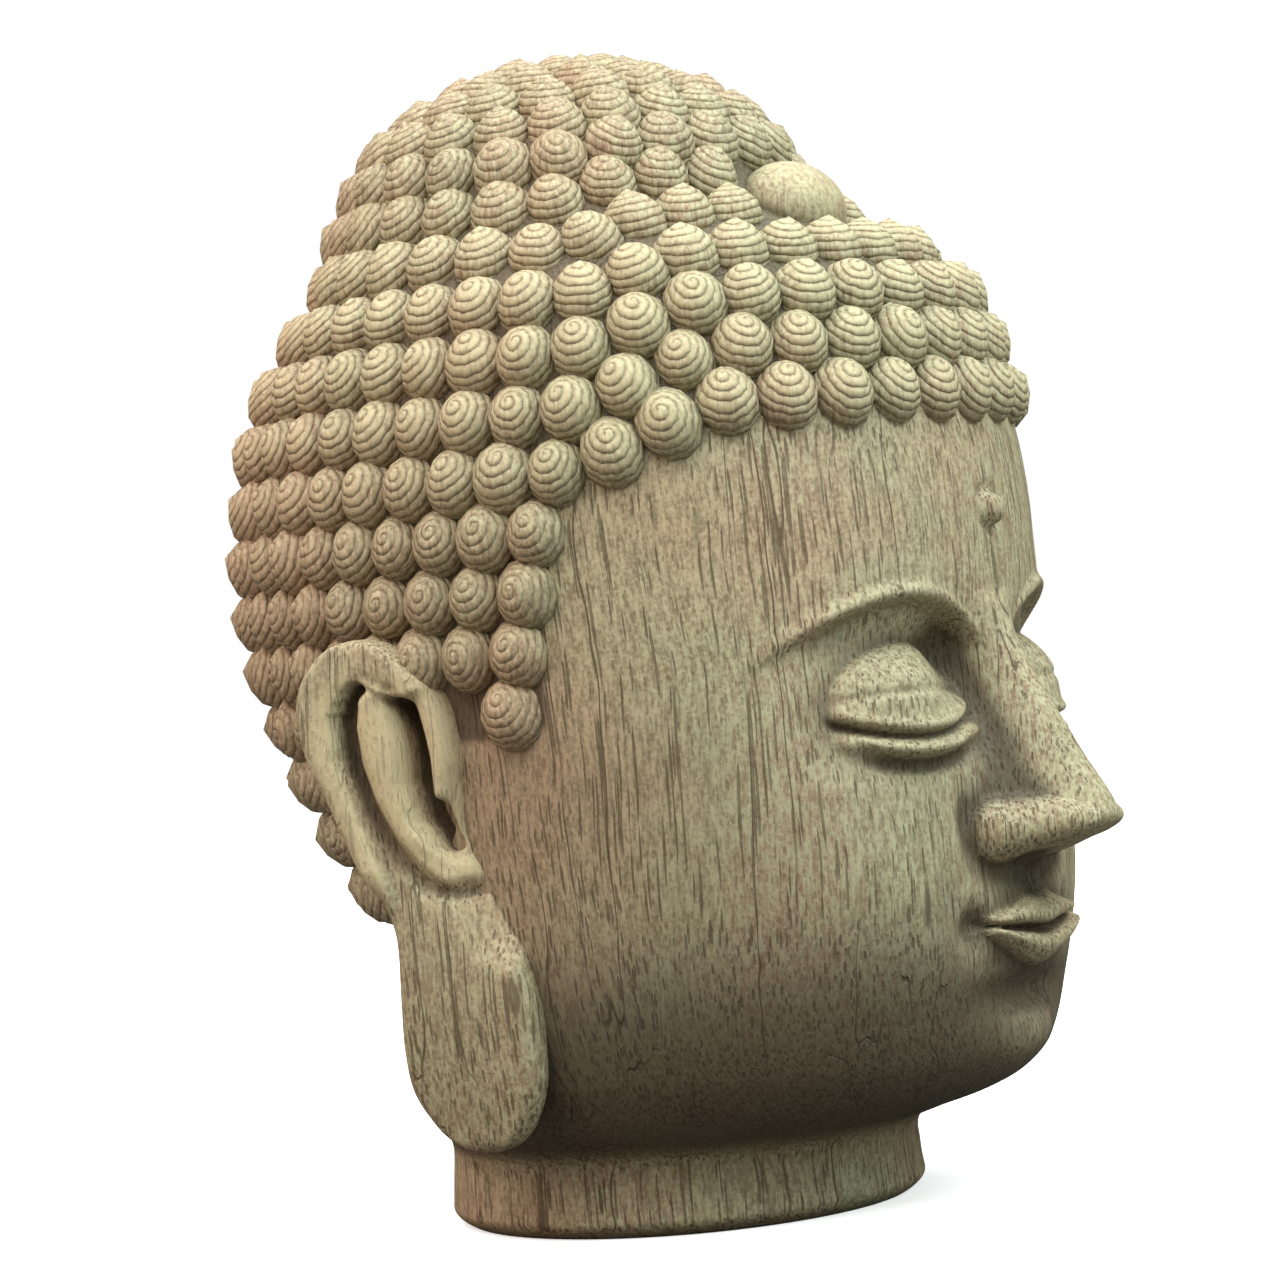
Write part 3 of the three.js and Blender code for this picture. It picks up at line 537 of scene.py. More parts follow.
def carved_wood_material(name, wear_and_light, pores, pore_depth):
    """Waxed old hardwood: the figure feeds colour and roughness, and a bump as deep as the pores, in
    millimetres. The figure's node and the bump's are given back too."""
    material = bpy.data.materials.new(name)
    material.use_nodes = True
    tree = material.node_tree
    shader = tree.nodes["Principled BSDF"]
    shader.inputs["Specular IOR Level"].default_value = WAX_GLOSS
    place = node(tree, "ShaderNodeTexCoord", (-900, 0)).outputs["Object"]
    hollow = node(tree, "ShaderNodeAttribute", (-900, -300), attribute_name="hollow").outputs["Fac"]
    figure = node(tree, "ShaderNodeGroup", (-600, 0), node_tree=old_wood)
    tree.links.new(place, figure.inputs["Vector"])
    tree.links.new(hollow, figure.inputs["Hollow"])
    figure.inputs["Wear and Light"].default_value = wear_and_light
    figure.inputs["Pores"].default_value = pores
    relief = node(
        tree, "ShaderNodeBump", (-300, -300),
        {"Height": figure.outputs["Height"], "Strength": 0.9, "Distance": pore_depth * 0.001},
    )
    tree.links.new(figure.outputs["Color"], shader.inputs["Base Color"])
    tree.links.new(figure.outputs["Roughness"], shader.inputs["Roughness"])
    tree.links.new(relief.outputs["Normal"], shader.inputs["Normal"])
    return material, figure, relief


smooth_wood, _, _ = carved_wood_material("rubbed_wood", wear_and_light=0.62, pores=1.0, pore_depth=0.16)


# The ears cover a seat sunk in the sides of the head, so that their bowls can be deep.
EAR_SEAT_DEPTH = 3.4
EAR_SEAT_BACK = 5.54
EAR_SEAT_LEVEL = 48.5
EAR_SEAT_LEAN = 0.12
EAR_SEAT_HALF_WIDTH = 4.6
EAR_SEAT_HALF_HEIGHT = 9.5


def ear_seat(y, z):
    """1 inside the seat under an ear, 0 outside: an upright oval with soft edges."""
    up = z - EAR_SEAT_LEVEL
    back = y - EAR_SEAT_BACK - EAR_SEAT_LEAN * up
    return 1 - smooth((np.hypot(back / EAR_SEAT_HALF_WIDTH, up / EAR_SEAT_HALF_HEIGHT) - 0.75) / 0.35)


# Level and place of the lobe's front edge against the jaw
LOBE_FRONT = np.array([(10.0, -1.0), (12.0, -3.0), (16.0, -5.6), (21.0, -6.1), (26.0, -5.8), (32.0, -4.6)])

FACE_DIRT_AND_SHADE_REACH = 1.6


def head_skin():
    """The skin as rings of points: the plain radius, plus the face's relief in front, less the rounding at
    the foot and the seats of the ears. Columns and levels stand closest on the face."""
    half = steps(0.0, [(34, 68), (76, 42), (108, 32), (180, 20)])
    theta = np.radians(np.concatenate([-half[-2:0:-1], half]))[None, :]
    levels = steps(0.0, [(2, 8), (7, 10), (22, 40), (62, 125), (CROWN_TURN_LEVEL, 44)])
    dome = BALD_HEIGHT - SKULL_LEVEL
    start = np.arcsin((CROWN_TURN_LEVEL - SKULL_LEVEL) / dome)
    crown = SKULL_LEVEL + dome * np.sin(np.linspace(start, math.pi / 2, 22)[1:-1])
    z = np.concatenate([levels, crown])[:, None]
    theta, z = np.broadcast_arrays(theta, z)
    r = plain_radius(theta, z)
    x, c = r * np.sin(theta), np.cos(theta)
    on_face = smooth((c - 0.05) / 0.25) * smooth((z - 8.5) / 3) * (1 - smooth((z - 76) / 4))
    shift = head_section(z)[4]
    y = shift - r * c
    out = face_relief(x, z) * on_face - EAR_SEAT_DEPTH * ear_seat(y, z)
    out = out - FOOT_ROUNDING * np.clip(1 - z / FOOT_ROUNDING, 0, 1) ** 2
    rings = np.stack([(r + out) * np.sin(theta), shift - (r + out) * c, z], -1)

    # Dirt and painted shade in the face's hollows, from how far each point lies under its surroundings.
    deep = hollow_of(face_relief, (-48, 0), (48, 96), FACE_DIRT_AND_SHADE_REACH, x, z) * on_face
    # The bed under the hair is painted dark for dirt and shade between the curls, a little less towards the
    # crown.
    under_hair = smooth((z - hair_edge(theta) + 0.6) / 1.4)
    # Painted shade, with some dirt, lies thick under the jaw and grows downward from brow level; a painted
    # shadow lines the crease beside the lobe; the forehead and the neck are rubbed paler and painted
    # lighter.
    shade_and_dirt_under_jaw = (0.3 * smooth((60 - z) / 16) + 0.6 * smooth((35 - z) / 19)) * smooth((z - 6.8) / 3)
    # A painted shadow along the crease in front of the lobe.
    shadow_beside_lobe = 0.7 * line_at(y - np.interp(z[:, 0], LOBE_FRONT[:, 0], LOBE_FRONT[:, 1])[:, None], 1.1)
    shadow_beside_lobe = shadow_beside_lobe * smooth((z - 9) / 3) * (1 - smooth((z - 27) / 6))
    # Paler from the eyes up and at the foot of the neck: rubbed wear and painted light.
    rubbed_and_painted_light = 0.85 * smooth((z - 52) / 14) + 0.5 * (1 - smooth((z - 4) / 4))
    paler = 1 - 0.15 * smooth((z - 80) / 25)
    hollow = np.maximum(deep + np.maximum(shade_and_dirt_under_jaw, shadow_beside_lobe) - rubbed_and_painted_light, 0.9 * under_hair * paler)
    return rings, hollow


rings, hollow = head_skin()
vertices, quads, ends = closed_rings(rings, (0, 0, 0), (0, CROWN_SET_BACK, BALD_HEIGHT))
hollow = np.append(hollow.ravel(), [0, 1])
wooden_piece("head_and_neck", vertices, [quads, ends], hollow, smooth_wood)

# CURLS OF THE HAIR
# Rows of snail curls, each one a small ball cut round with a gouge and then scored with a spiral that
# winds up to a point. Where three curls meet the carver has left a deep pit, painted dark for dirt and
# shade.
CURL_PITCH = 5.7
ROW_STEP_BELOW = 5.55
ROWS_TO_CROWN = 11
ROWS_BELOW = 7
SIDE_EDGE_LEAN = 2.2
CURL_RADIUS = 3.2
CURL_SUNK = 0.55
CURL_POINT = 0.4
CURL_STRETCH = 0.13
CURL_COLUMNS = 12
CURL_LATITUDES = (-70.0, -36.0, -4.0, 28.0, 58.0)
CURL_TILT = 22.0
CURL_TURNS = 10.0
STRAND_POWER = 2.4
WINDING_WANDER = 0.7
WINDING_DIRT_AND_SHADE = 0.33

# How unlike each other the curls are: degrees of lean, radians of spin, share of the size
CURL_LEAN_SPREAD = 7.0
CURL_SPIN_SPREAD = 0.6
CURL_SIZE_SPREAD = 0.025
CURL_SEED = 7

# The jewel and the ears leave no room for curls.
JEWEL_LEVEL = 99.8
JEWEL_HALF_WIDTH = 6.2
EAR_TOP = 60.3


def row_level(theta, row):
    """The level of a row of curls: equal steps down below the edge row, and above it a sine of the row's
    share of the way to the crown, so the rows stay equally far apart on the round skull."""
    edge = edge_row_level(theta)
    rise = BALD_HEIGHT - SKULL_LEVEL
    start = np.arcsin((edge - SKULL_LEVEL) / rise)
    w = np.clip(row, 0, ROWS_TO_CROWN) / ROWS_TO_CROWN
    above = SKULL_LEVEL + rise * np.sin(start + (math.pi / 2 - start) * (w - 0.1 * w * (1 - w)))
    return np.where(row <= 0, edge + row * ROW_STEP_BELOW, above)


def bed(theta, row):
    """The point on the bald head where a curl sits."""
    return bald_head(theta, row_level(theta, row))


def row_spots(row):
    """The angles of one row's curls. From the edge row up they go all the way round, each row half a step
    from the one below; lower rows run from the temple round the back."""
    ring = bed(np.linspace(0, 2 * math.pi, 91), max(row, 0))
    count = round(np.linalg.norm(np.diff(ring, axis=0), axis=1).sum() / CURL_PITCH)
    if row >= 0:
        return (np.arange(count) + 0.5 * (row % 2)) * 2 * math.pi / count
    edge = math.radians(SIDE_EDGE_ANGLE + SIDE_EDGE_LEAN * (-1 - row))
    odd = 0.5 * (row % 2 == 0)
    gaps = round(2 * (round((math.pi - edge) * count / (2 * math.pi) - odd) + odd))
    return np.linspace(edge, 2 * math.pi - edge, gaps + 1)


def hair_spots():
    """Angle and row of every curl, without those that would lie under the ears or the jewel."""
    rows = [(row_spots(row), row) for row in range(-ROWS_BELOW, ROWS_TO_CROWN)]
    theta = np.concatenate([angles for angles, _ in rows] + [[0.0]])
    row = np.concatenate([np.full(len(angles), float(r)) for angles, r in rows] + [[ROWS_TO_CROWN]])
    theta = np.where(theta > math.pi, theta - 2 * math.pi, theta)
    turn, level = np.degrees(np.abs(theta)), row_level(theta, row)
    behind_lobe = (level < SIDEBURN_LEVEL) & (turn < BEHIND_EAR_ANGLE)
    behind_bowl = (level < EAR_TOP - 4) & (turn > SIDE_EDGE_ANGLE + 13) & (turn < BEHIND_EAR_ANGLE)
    from_jewel = np.linalg.norm(bed(theta, row) - bald_head(0.0, JEWEL_LEVEL), axis=1)
    keep = (from_jewel > JEWEL_HALF_WIDTH) & ~(behind_lobe | behind_bowl)
    return theta[keep], row[keep]


def curl_template():
    """One curl as a ball closed by a point: with a the latitude, a ring's radius is R cos(a) and its height
    R sin(a). Its place on the winding map is the turn round the axis and the way down from the point."""
    turn = 2 * math.pi * np.arange(CURL_COLUMNS) / CURL_COLUMNS
    a = np.radians(CURL_LATITUDES)[:, None]
    flat = np.cos(a)
    rings = CURL_RADIUS * np.stack([flat * np.cos(turn), flat * np.sin(turn), np.sin(a) + 0 * turn], -1)
    corners = np.concatenate([rings.reshape(-1, 3), [[0.0, 0.0, CURL_RADIUS + CURL_POINT]]])
    i = np.arange(len(CURL_LATITUDES) - 1)[:, None] * CURL_COLUMNS
    j = np.arange(CURL_COLUMNS)[None, :]
    k = (j + 1) % CURL_COLUMNS
    quads = np.stack([i + j, i + k, i + k + CURL_COLUMNS, i + j + CURL_COLUMNS], -1).reshape(-1, 4)
    top = len(corners) - 1 - CURL_COLUMNS
    j, k = j[0], k[0]
    triangles = np.stack([top + j, top + k, np.full(CURL_COLUMNS, len(corners) - 1)], -1)
    rim = j[None, ::-1]

    down = (90.0 - np.array(CURL_LATITUDES)) / (90.0 - CURL_LATITUDES[0])
    u, v = j / CURL_COLUMNS, np.broadcast_to(down[:, None], (len(down), CURL_COLUMNS))
    wide = 1 / CURL_COLUMNS
    left = np.stack([np.broadcast_to(u, v.shape), v], -1)
    right = left + (wide, 0)
    around = np.stack([left[:-1], right[:-1], right[1:], left[1:]], 2).reshape(-1, 2)
    point = np.stack([u + wide / 2, 0 * u], -1)
    at_point = np.stack([left[-1], right[-1], point], 1).reshape(-1, 2)
    places = [around, at_point, np.zeros((CURL_COLUMNS, 2))]
    return corners, (quads, triangles, rim), places


def hair():
    """Every curl is the template set on its spot: across, toward the crown and outward are its axes, leaned
    toward the crown, and each is turned, sized and tilted a little differently, as cut by hand."""
    theta, row = hair_spots()
    chance = np.random.default_rng(CURL_SEED)
    at = bed(theta, row)
    nudge = 0.02
    along = bed(theta + nudge, row) - bed(theta - nudge, row)
    up = bed(theta, np.minimum(row + nudge, ROWS_TO_CROWN)) - bed(theta, row - nudge)
    crown = row >= ROWS_TO_CROWN
    along[crown], up[crown] = (1, 0, 0), (0, 1, 0)
    along /= np.linalg.norm(along, axis=1, keepdims=True)
    out = np.cross(along, up)
    out /= np.linalg.norm(out, axis=1, keepdims=True)
    up = np.cross(out, along)
    lean = np.where(crown, 0, CURL_TILT) + chance.normal(0, CURL_LEAN_SPREAD, len(row))
    lean = np.radians(lean)[:, None]
    side = np.radians(chance.normal(0, CURL_LEAN_SPREAD, len(row)))[:, None]
    axis = out * np.cos(lean) + up * np.sin(lean) + along * np.sin(side)
    axis /= np.linalg.norm(axis, axis=1, keepdims=True)
    across = np.cross(up, axis)
    across /= np.linalg.norm(across, axis=1, keepdims=True)
    upward = np.cross(axis, across)
    spin = chance.uniform(-CURL_SPIN_SPREAD, CURL_SPIN_SPREAD, len(row))[:, None]
    across, upward = (
        across * np.cos(spin) + upward * np.sin(spin),
        upward * np.cos(spin) - across * np.sin(spin),
    )

    corners, faces, places = curl_template()
    points = corners[None, :, :] * chance.normal(1.0, CURL_SIZE_SPREAD, len(row))[:, None, None]
    points = (
        points[..., :1] * across[:, None, :]
        + points[..., 1:2] * upward[:, None, :]
        + points[..., 2:] * axis[:, None, :]
    )
    # A curl is a little taller than wide, so it beds into the row below.
    taller = (points * up[:, None, :]).sum(-1, keepdims=True)
    points = points + CURL_STRETCH * taller * up[:, None, :]
    height = (points * out[:, None, :]).sum(-1)
    placed = (at - CURL_SUNK * out)[:, None, :] + points
    start = (np.arange(len(row)) * len(corners))[:, None, None]
    groups = [(group[None] + start).reshape(-1, group.shape[1]) for group in faces]
    windings = np.concatenate([np.tile(group, (len(row), 1)) for group in places])

    # Dirt and painted shade lie low between the curls and on their undersides, less of it round the crown,
    # and the tops are rubbed paler and painted lighter.
    level = at[:, 2:]
    paler = 1 - 0.75 * smooth((level - 62) / 30)
    rubbed_and_painted_light = 0.4 * smooth((level - 60) / 22) * (1 - 0.9 * smooth((level - 92) / 14))
    hollow = 0.75 * smooth((1.4 - height) / 1.9) * paler - rubbed_and_painted_light * smooth((height - 1.4) / 1.4)
    return placed.reshape(-1, 3), groups, hollow.ravel(), windings


def curl_material():
    """The wood with the snail's winding scored in: with p the fraction of the turns counted down from the
    point plus the turn round the axis, the strand's height is 1 less the strand power of |2p - 1|."""
    material, figure, relief = carved_wood_material("curl_wood", wear_and_light=0.55, pores=0.4, pore_depth=0.22)
    tree = material.node_tree
    place = figure.inputs["Vector"].links[0].from_socket
    deep = figure.inputs["Hollow"].links[0].from_socket
    winding = node(tree, "ShaderNodeUVMap", (-2200, -600), uv_map="winding").outputs["UV"]
    unsteady = {"Vector": place, "Scale": 420.0, "Detail": 1.0}
    wander = node(tree, "ShaderNodeTexNoise", (-2200, -800), unsteady)
    parts = node(tree, "ShaderNodeSeparateXYZ", (-2000, -600), {0: winding}).outputs
    turns = sum_of(tree, (-1800, -600), "MULTIPLY_ADD", parts["Y"], CURL_TURNS, parts["X"])
    turns = sum_of(tree, (-1600, -600), "MULTIPLY_ADD", wander.outputs["Fac"], WINDING_WANDER, turns)
    part = sum_of(tree, (-1400, -600), "FRACT", turns)
    off = sum_of(tree, (-1250, -600), "MULTIPLY_ADD", part, 2.0, -1.0)
    off = sum_of(tree, (-1100, -600), "ABSOLUTE", off)
    off = sum_of(tree, (-950, -600), "POWER", off, STRAND_POWER)
    # The grooves between the strands are painted darker, for the dirt and the shade in them.
    deep = sum_of(tree, (-750, -800), "SUBTRACT", deep, 0.06)
    dirt_and_shade = sum_of(tree, (-600, -600), "MULTIPLY_ADD", off, WINDING_DIRT_AND_SHADE, deep)
    tree.links.new(dirt_and_shade, figure.inputs["Hollow"])
    height = sum_of(tree, (-600, -900), "MULTIPLY", figure.outputs["Height"], 0.4)
    height = sum_of(tree, (-450, -900), "SUBTRACT", height, off)
    tree.links.new(height, relief.inputs["Height"])
    return material


vertices, groups, hollow, windings = hair()
wooden_piece("hair_curls", vertices, groups, hollow, curl_material(), windings)

# JEWEL IN FRONT OF THE CROWN
# A smooth oval dome left standing out of the same block among the curls, rubbed paler than the rest,
# on a short collar sunk in the head.
JEWEL_HALF_HEIGHT = 5.2
JEWEL_STAND_OUT = 4.3
JEWEL_COLLAR_ANGLE = -0.35
JEWEL_ROOT_DEPTH = 1.3
JEWEL_RINGS = 25
JEWEL_COLUMNS = 64


def jewel():
    """Half an ellipsoid and a collar below it, its axis square to the head: rings of cosine radius."""
    at = bald_head(0.0, JEWEL_LEVEL)
    up = bald_head(0.0, JEWEL_LEVEL + 0.5) - bald_head(0.0, JEWEL_LEVEL - 0.5)
    up /= np.linalg.norm(up)
    across = np.array([1.0, 0.0, 0.0])
    out = np.cross(across, up)
    rise = np.linspace(JEWEL_COLLAR_ANGLE, math.pi / 2, JEWEL_RINGS + 1)[:-1, None]
    turn = np.linspace(0, 2 * math.pi, JEWEL_COLUMNS + 1)[None, :-1]
    x = JEWEL_HALF_WIDTH * np.cos(rise) * np.cos(turn)
    z = JEWEL_HALF_HEIGHT * np.cos(rise) * np.sin(turn)
    y = JEWEL_STAND_OUT * np.sin(rise) + 0 * turn
    rings = at + x[..., None] * across + z[..., None] * up + y[..., None] * out
    low, high = at - JEWEL_ROOT_DEPTH * out, at + JEWEL_STAND_OUT * out
    # Dirt and painted shade darken the foot of the dome where it meets the head; its top is rubbed paler.
    hollow = 0.6 * smooth((1.2 - y) / 1.8) - 0.25 * smooth((y - 1) / 2)
    return closed_rings(rings, low, high), np.append(hollow.ravel(), [0.6, -0.25])


(vertices, quads, ends), hollow = jewel()
jewel_wood, _, _ = carved_wood_material("jewel_wood", wear_and_light=0.5, pores=0.35, pore_depth=0.12)
wooden_piece("crown_jewel", vertices, [quads, ends], hollow, jewel_wood)

# EARS
# Long ears that stand free of the jaw at their lobes: a flat rolled rim, a broad ridge inside it that ends
# in a hook under the deep bowl, and a long plain lobe, all cut in the same block.
EAR_HEIGHT = 50.0
EAR_BOTTOM = 10.3
EAR_MIDDLE = 1.4
EAR_THICKNESS = 4.6
EAR_ORIGIN = 39.4
EAR_EDGE_ROUNDING = 1.5
CHEEK_SLOPE_DEPTH = 2.2
CHEEK_SLOPE_WIDTH = 6.0
RIM_RISE = 1.5
FRONT_RIDGE_RISE = 0.9
INNER_RIDGE_RISE = 1.3
BOWL_DEPTH = 5.0
GROOVE_DEPTH_LOW = 0.65
GROOVE_DEPTH_HIGH = 1.4
EAR_DIRT_AND_SHADE_REACH = 1.3
OUTER_COLUMNS = 96
INNER_COLUMNS = 14

# Share of the height, front and back edge, how far it stands out, how much it flares to the back
EAR_LINES = np.array([
    (0.0, -0.022, 0.012, 0.69, 0.1),
    (0.008, -0.053, 0.045, 0.692, 0.1),
    (0.025, -0.082, 0.075, 0.695, 0.1),
    (0.055, -0.108, 0.103, 0.7, 0.1),
    (0.12, -0.136, 0.134, 0.712, 0.12),
    (0.2, -0.143, 0.138, 0.724, 0.14),
    (0.3, -0.141, 0.127, 0.736, 0.17),
    (0.42, -0.115, 0.117, 0.742, 0.22),
    (0.48, -0.096, 0.13, 0.741, 0.25),
    (0.54, -0.064, 0.155, 0.738, 0.28),
    (0.61, -0.03, 0.182, 0.736, 0.3),
    (0.69, -0.034, 0.207, 0.737, 0.32),
    (0.76, -0.045, 0.232, 0.739, 0.34),
    (0.86, -0.03, 0.249, 0.74, 0.34),
    (0.92, 0.004, 0.236, 0.742, 0.34),
    (0.955, 0.036, 0.214, 0.742, 0.34),
    (0.98, 0.066, 0.189, 0.742, 0.34),
    (0.993, 0.092, 0.165, 0.742, 0.34),
    (1.0, 0.12, 0.14, 0.742, 0.34),
])

# Lines on the ear as (back, up, half width) from the bottom of the bowl, in millimetres
RIM_EDGE = np.array([
    (2.3, 18.2, 3.4), (4.3, 20.0, 3.9), (6.9, 20.9, 4.3), (9.6, 19.6, 4.3), (11.7, 16.8, 4.3),
    (12.45, 14.0, 4.0), (11.6, 9.0, 3.2), (9.7, 3.1, 2.7), (7.6, -2.2, 2.3), (6.2, -6.0, 1.6),
])
INNER_RIDGE = np.array([
    (5.3, 15.2, 1.3), (5.1, 12.6, 1.8), (4.6, 9.6, 2.0), (4.1, 6.0, 1.8), (2.7, 2.2, 1.45),
    (1.1, -0.5, 1.3), (-0.5, -1.9, 1.25), (-2.2, -1.7, 1.15),
])
FRONT_RIDGE = np.array([(1.4, 17.0, 1.3), (-0.4, 14.7, 1.4), (-0.9, 9.2, 1.35), (-0.5, 5.7, 0.9)])
BOWL = np.array([
    (2.9, 15.6, 0.8), (2.2, 13.6, 0.95), (1.6, 10.5, 1.15), (1.4, 7.0, 1.35), (0.7, 3.6, 1.3),
    (-0.4, 1.0, 0.9),
])
GROOVE = np.array([
    (3.4, 16.2, 0.7), (5.2, 17.1, 0.8), (7.2, 15.6, 1.0), (8.1, 12.6, 1.1), (7.7, 8.6, 1.0),
    (6.2, 4.2, 0.9), (4.0, -0.6, 0.8), (1.9, -3.4, 0.75), (-0.6, -4.3, 0.7), (-2.4, -4.0, 0.6),
])


def near_line(p, q, line):
    """Distance of each point from a line of straight stretches, and the line's width nearest to it."""
    best, width = np.full(p.shape, np.inf), np.zeros(p.shape)
    for (p0, q0, w0), (p1, q1, w1) in zip(line[:-1], line[1:]):
        back, up = p1 - p0, q1 - q0
        t = np.clip(((p - p0) * back + (q - q0) * up) / (back**2 + up**2), 0, 1)
        d = np.hypot(p - p0 - t * back, q - q0 - t * up)
        width = np.where(d < best, w0 + t * (w1 - w0), width)
        best = np.minimum(best, d)
    return best, width


def band(p, q, line, power):
    """1 on a line and 0 beside it: e to the minus of the distance over the width, to a power that makes the
    top flat."""
    d, w = near_line(p, q, line)
    return np.exp(-((d / w) ** power))


def ear_relief(p, q):
    """Height of the ear's outer face, p to the back and q up from the bottom of the bowl."""
    p, q = np.broadcast_arrays(p, q)
    d, w = near_line(p, q, RIM_EDGE)
    rim = (1 - smooth((d - w + 0.6) / 1.1)) * smooth((q + 6) / 5)
    inner = band(p, q, INNER_RIDGE, 3.0)
    front = band(p, q, FRONT_RIDGE, 3.0)
    groove = GROOVE_DEPTH_LOW + (GROOVE_DEPTH_HIGH - GROOVE_DEPTH_LOW) * smooth((q - 3) / 8)
    h = RIM_RISE * rim + FRONT_RIDGE_RISE * front * (1 - rim)
    h = h - groove * band(p, q, GROOVE, 2.4) * (1 - 0.8 * rim)
    h = h - BOWL_DEPTH * band(p, q, BOWL, 3.6) * (1 - 0.9 * rim) * (1 - front)
    return h + INNER_RIDGE_RISE * inner * (1 - rim)


def ear():
    """The ear on the +X side: rings from the lobe up, over the outer face and back along the inner one. The
    edge of the outer face is rounded off as a quarter circle."""
    share = steps(0.0, [(0.02, 6), (0.1, 10), (0.44, 42), (0.9, 110), (0.97, 18), (1.0, 14)])[:, None]
    front = through(EAR_LINES, share, 1) * EAR_HEIGHT
    back = through(EAR_LINES, share, 2) * EAR_HEIGHT
    stand = through(EAR_LINES, share, 3) * EAR_HEIGHT
    flare = through(EAR_LINES, share, 4)
    z = EAR_BOTTOM + EAR_HEIGHT * share
    # Columns stand closer at both edges.
    even = np.linspace(0, 1, OUTER_COLUMNS)[None, :]
    across = 0.55 * (1 - np.cos(math.pi * even)) / 2 + 0.45 * even
    p = front + (back - front) * across
    q = z - EAR_ORIGIN + 0 * p
    end = np.minimum(share, 1.0 - share) * EAR_HEIGHT
    to_edge = np.minimum(np.minimum(p - front, back - p), end + 0.15)
    drop = EAR_EDGE_ROUNDING * (1 - np.sqrt(1 - np.clip(1 - to_edge / EAR_EDGE_ROUNDING, 0, 1) ** 2))
    # Under the bowl the front edge runs into the cheek as a slope; the lobe below stands free of the jaw.
    joined = smooth((share - 0.34) / 0.1) * (1 - smooth((share - 0.54) / 0.08))
    drop = drop + CHEEK_SLOPE_DEPTH * joined * (1 - smooth((p - front) / CHEEK_SLOPE_WIDTH))
    h = ear_relief(p, q) * smooth(to_edge / 0.8 + 0.2) - drop
    outer = np.stack([stand + flare * p + h, EAR_MIDDLE + p, z + 0 * p], -1)

    inward = np.linspace(1, 0, INNER_COLUMNS)[None, :]
    p_in = front + (back - front) * inward
    thick = EAR_THICKNESS * (0.6 + 0.4 * np.sin(math.pi * share)) - 1.2 * (1 - np.sin(math.pi * inward))
    inner = np.stack([stand + flare * p_in - thick, EAR_MIDDLE + p_in, z + 0 * p_in], -1)
    rings = np.concatenate([outer, inner], 1)

    # Dirt and painted shade in the ear's hollows.
    deep = hollow_of(ear_relief, (-14, -34), (18, 26), EAR_DIRT_AND_SHADE_REACH, p, q)
    # The lobes are rubbed paler, least of all at their lower ends, which are painted darker towards the
    # bottom.
    deep = deep - 0.14 + 0.34 * smooth((-16 - q) / 9)
    # The back face, turned to the head, is painted a little darker for shade.
    hollow = np.concatenate([deep, np.full(p_in.shape, 0.25)], 1)
    return rings, np.append(hollow.ravel(), [0, 0])


rings, hollow = ear()
for side, name in ((1, "ear_left"), (-1, "ear_right")):
    vertices, quads, ends = closed_rings(rings, rings[0].mean(0), rings[-1].mean(0))
    if side < 0:
        vertices, quads, ends = vertices * (-1, 1, 1), quads[:, ::-1], ends[:, ::-1]
    wooden_piece(name, vertices, [quads, ends], hollow, smooth_wood)

# TABLE, LIGHT AND CAMERA
# A pale matt table that runs on to a pale wall, a large soft lamp overhead and two smaller ones in front,
# a cool one from the right and a warm one from the left. The camera stands in front to the head's right,
# level with its middle, and is held slightly askew.
VIEW_AZIMUTH = -58.0
VIEW_DISTANCE = 0.4
VIEW_LEVEL = 0.0577
VIEW_ROLL = 5.0
PHOTO_WIDTH = 1285
METRES_A_PIXEL = 0.000103
TABLE_REACH = 4.0
TABLE_PALE = (0.82, 0.82, 0.81, 1)
TABLE_PALER = (0.85, 0.85, 0.84, 1)
TABLE_BOUNCE = (0.13, 0.12, 0.11, 1)
TABLE_GLOW_NEAR = 0.58
ROOM_LIGHT = 0.09

floor_mesh = bpy.data.meshes.new("table")
floor_corners = [(x * TABLE_REACH, y * TABLE_REACH, 0) for x, y in ((-1, -1), (1, -1), (1, 1), (-1, 1))]
floor_mesh.from_pydata(floor_corners, [], [(0, 1, 2, 3)])
floor_paint = bpy.data.materials.new("table_paint")
floor_paint.use_nodes = True
floor_tree = floor_paint.node_tree
floor_shader = floor_tree.nodes["Principled BSDF"]
floor_place = node(floor_tree, "ShaderNodeTexCoord", (-800, 0)).outputs["Object"]
floor_noise = node(floor_tree, "ShaderNodeTexNoise", (-600, 0), {"Vector": floor_place, "Scale": 60.0})
floor_shade = between(floor_tree, (-400, 0), floor_noise.outputs["Fac"], 0.2, 0.8)
floor_colour = mixed(floor_tree, (-200, 0), floor_shade, TABLE_PALE, TABLE_PALER)
# The table looks pale, but sends little light back up, so the shade under the chin stays deep.
seen = node(floor_tree, "ShaderNodeLightPath", (-400, 300)).outputs["Is Camera Ray"]
floor_colour = mixed(floor_tree, (0, 0), seen, TABLE_BOUNCE, floor_colour)
floor_tree.links.new(floor_colour, floor_shader.inputs["Base Color"])
# It runs on into the white wall without an edge.
away = node(floor_tree, "ShaderNodeVectorMath", (-600, 500), {0: floor_place}, operation="LENGTH")
glow = between(floor_tree, (-400, 500), away.outputs["Value"], 0.08, 0.4)
glow = sum_of(floor_tree, (-200, 500), "MULTIPLY_ADD", glow, 1 - TABLE_GLOW_NEAR, TABLE_GLOW_NEAR)
glow = sum_of(floor_tree, (0, 500), "MULTIPLY", glow, seen)
floor_tree.links.new(glow, floor_shader.inputs["Emission Color"])
floor_shader.inputs["Emission Strength"].default_value = 1.0
floor_shader.inputs["Roughness"].default_value = 0.9
floor_shader.inputs["Specular IOR Level"].default_value = 0.1
floor_mesh.materials.append(floor_paint)
table = bpy.data.objects.new("table", floor_mesh)
bpy.context.scene.collection.objects.link(table)

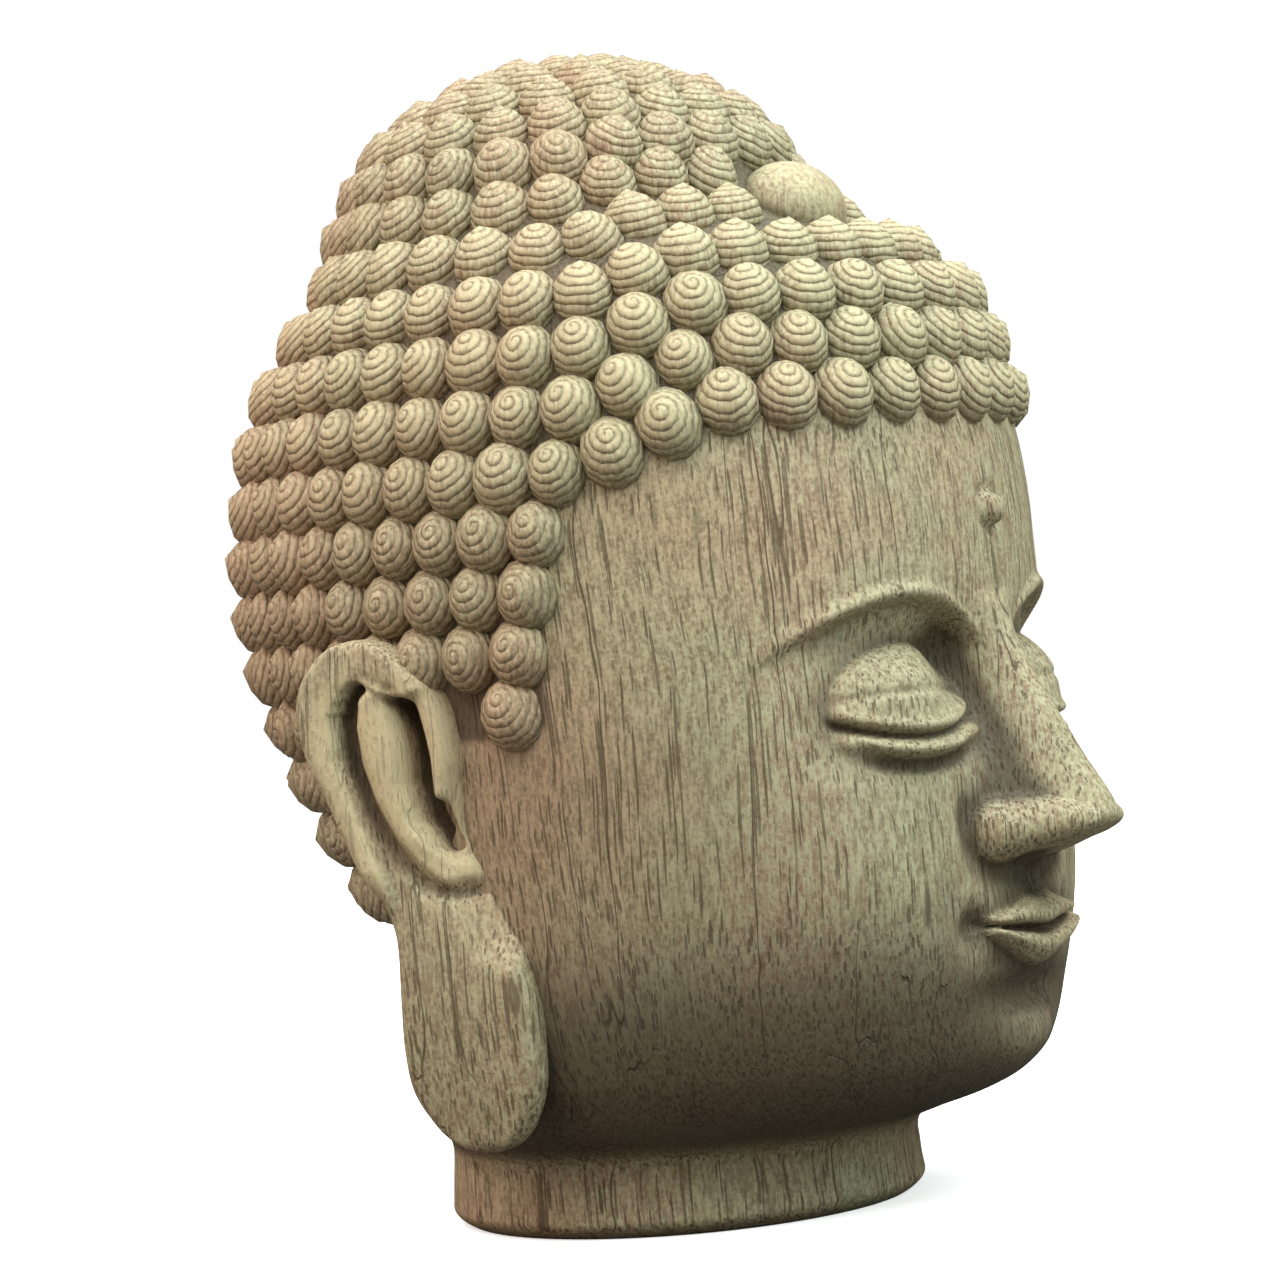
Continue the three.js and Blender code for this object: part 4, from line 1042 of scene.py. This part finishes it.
azimuth = math.radians(VIEW_AZIMUTH)
toward = Vector((math.sin(azimuth), -math.cos(azimuth), 0))
right = Vector((math.cos(azimuth), math.sin(azimuth), 0))
middle = Vector((0, 0, VIEW_LEVEL))

# How far each lamp stands to the right, toward the camera and up, its width, power and colour
LAMPS = (
    ("overhead_lamp", 0.05, 0.08, 0.58, 0.9, 10.0, (0.89, 0.95, 1.0)),
    ("right_lamp", 0.42, 0.26, 0.40, 0.6, 4.0, (0.85, 1.0, 0.98)),
    ("left_lamp", -0.38, 0.24, 0.38, 0.6, 3.1, (1.0, 0.81, 0.72)),
)
for name, to_right, to_camera, level, width, power, colour in LAMPS:
    light = bpy.data.lights.new(name, "AREA")
    light.size = width
    light.energy = power
    light.color = colour
    lamp = bpy.data.objects.new(name, light)
    lamp.location = right * to_right + toward * to_camera + Vector((0, 0, level))
    lamp.rotation_euler = (middle - lamp.location).to_track_quat("-Z", "Y").to_euler()
    bpy.context.scene.collection.objects.link(lamp)

# A white wall all round, seen at full brightness and lighting the head with much less.
room = bpy.data.worlds.new("pale_room")
room.use_nodes = True
room_tree = room.node_tree
room_seen = node(room_tree, "ShaderNodeLightPath", (-400, 0)).outputs["Is Camera Ray"]
room_light = sum_of(room_tree, (-200, 0), "MULTIPLY_ADD", room_seen, 1 - ROOM_LIGHT, ROOM_LIGHT)
room_tree.nodes["Background"].inputs["Color"].default_value = (1, 1, 1, 1)
room_tree.links.new(room_light, room_tree.nodes["Background"].inputs["Strength"])
bpy.context.scene.world = room
bpy.context.scene.view_settings.view_transform = "Standard"

lens = bpy.data.cameras.new("camera")
lens.sensor_width = 36.0
lens.lens = 36.0 * VIEW_DISTANCE / (PHOTO_WIDTH * METRES_A_PIXEL)
lens.clip_start = 0.01
camera = bpy.data.objects.new("camera", lens)
camera.location = middle + toward * VIEW_DISTANCE
camera.rotation_mode = "QUATERNION"
roll = Quaternion((0, 0, 1), math.radians(-VIEW_ROLL))
camera.rotation_quaternion = (-toward).to_track_quat("-Z", "Y") @ roll
bpy.context.scene.collection.objects.link(camera)
bpy.context.scene.camera = camera
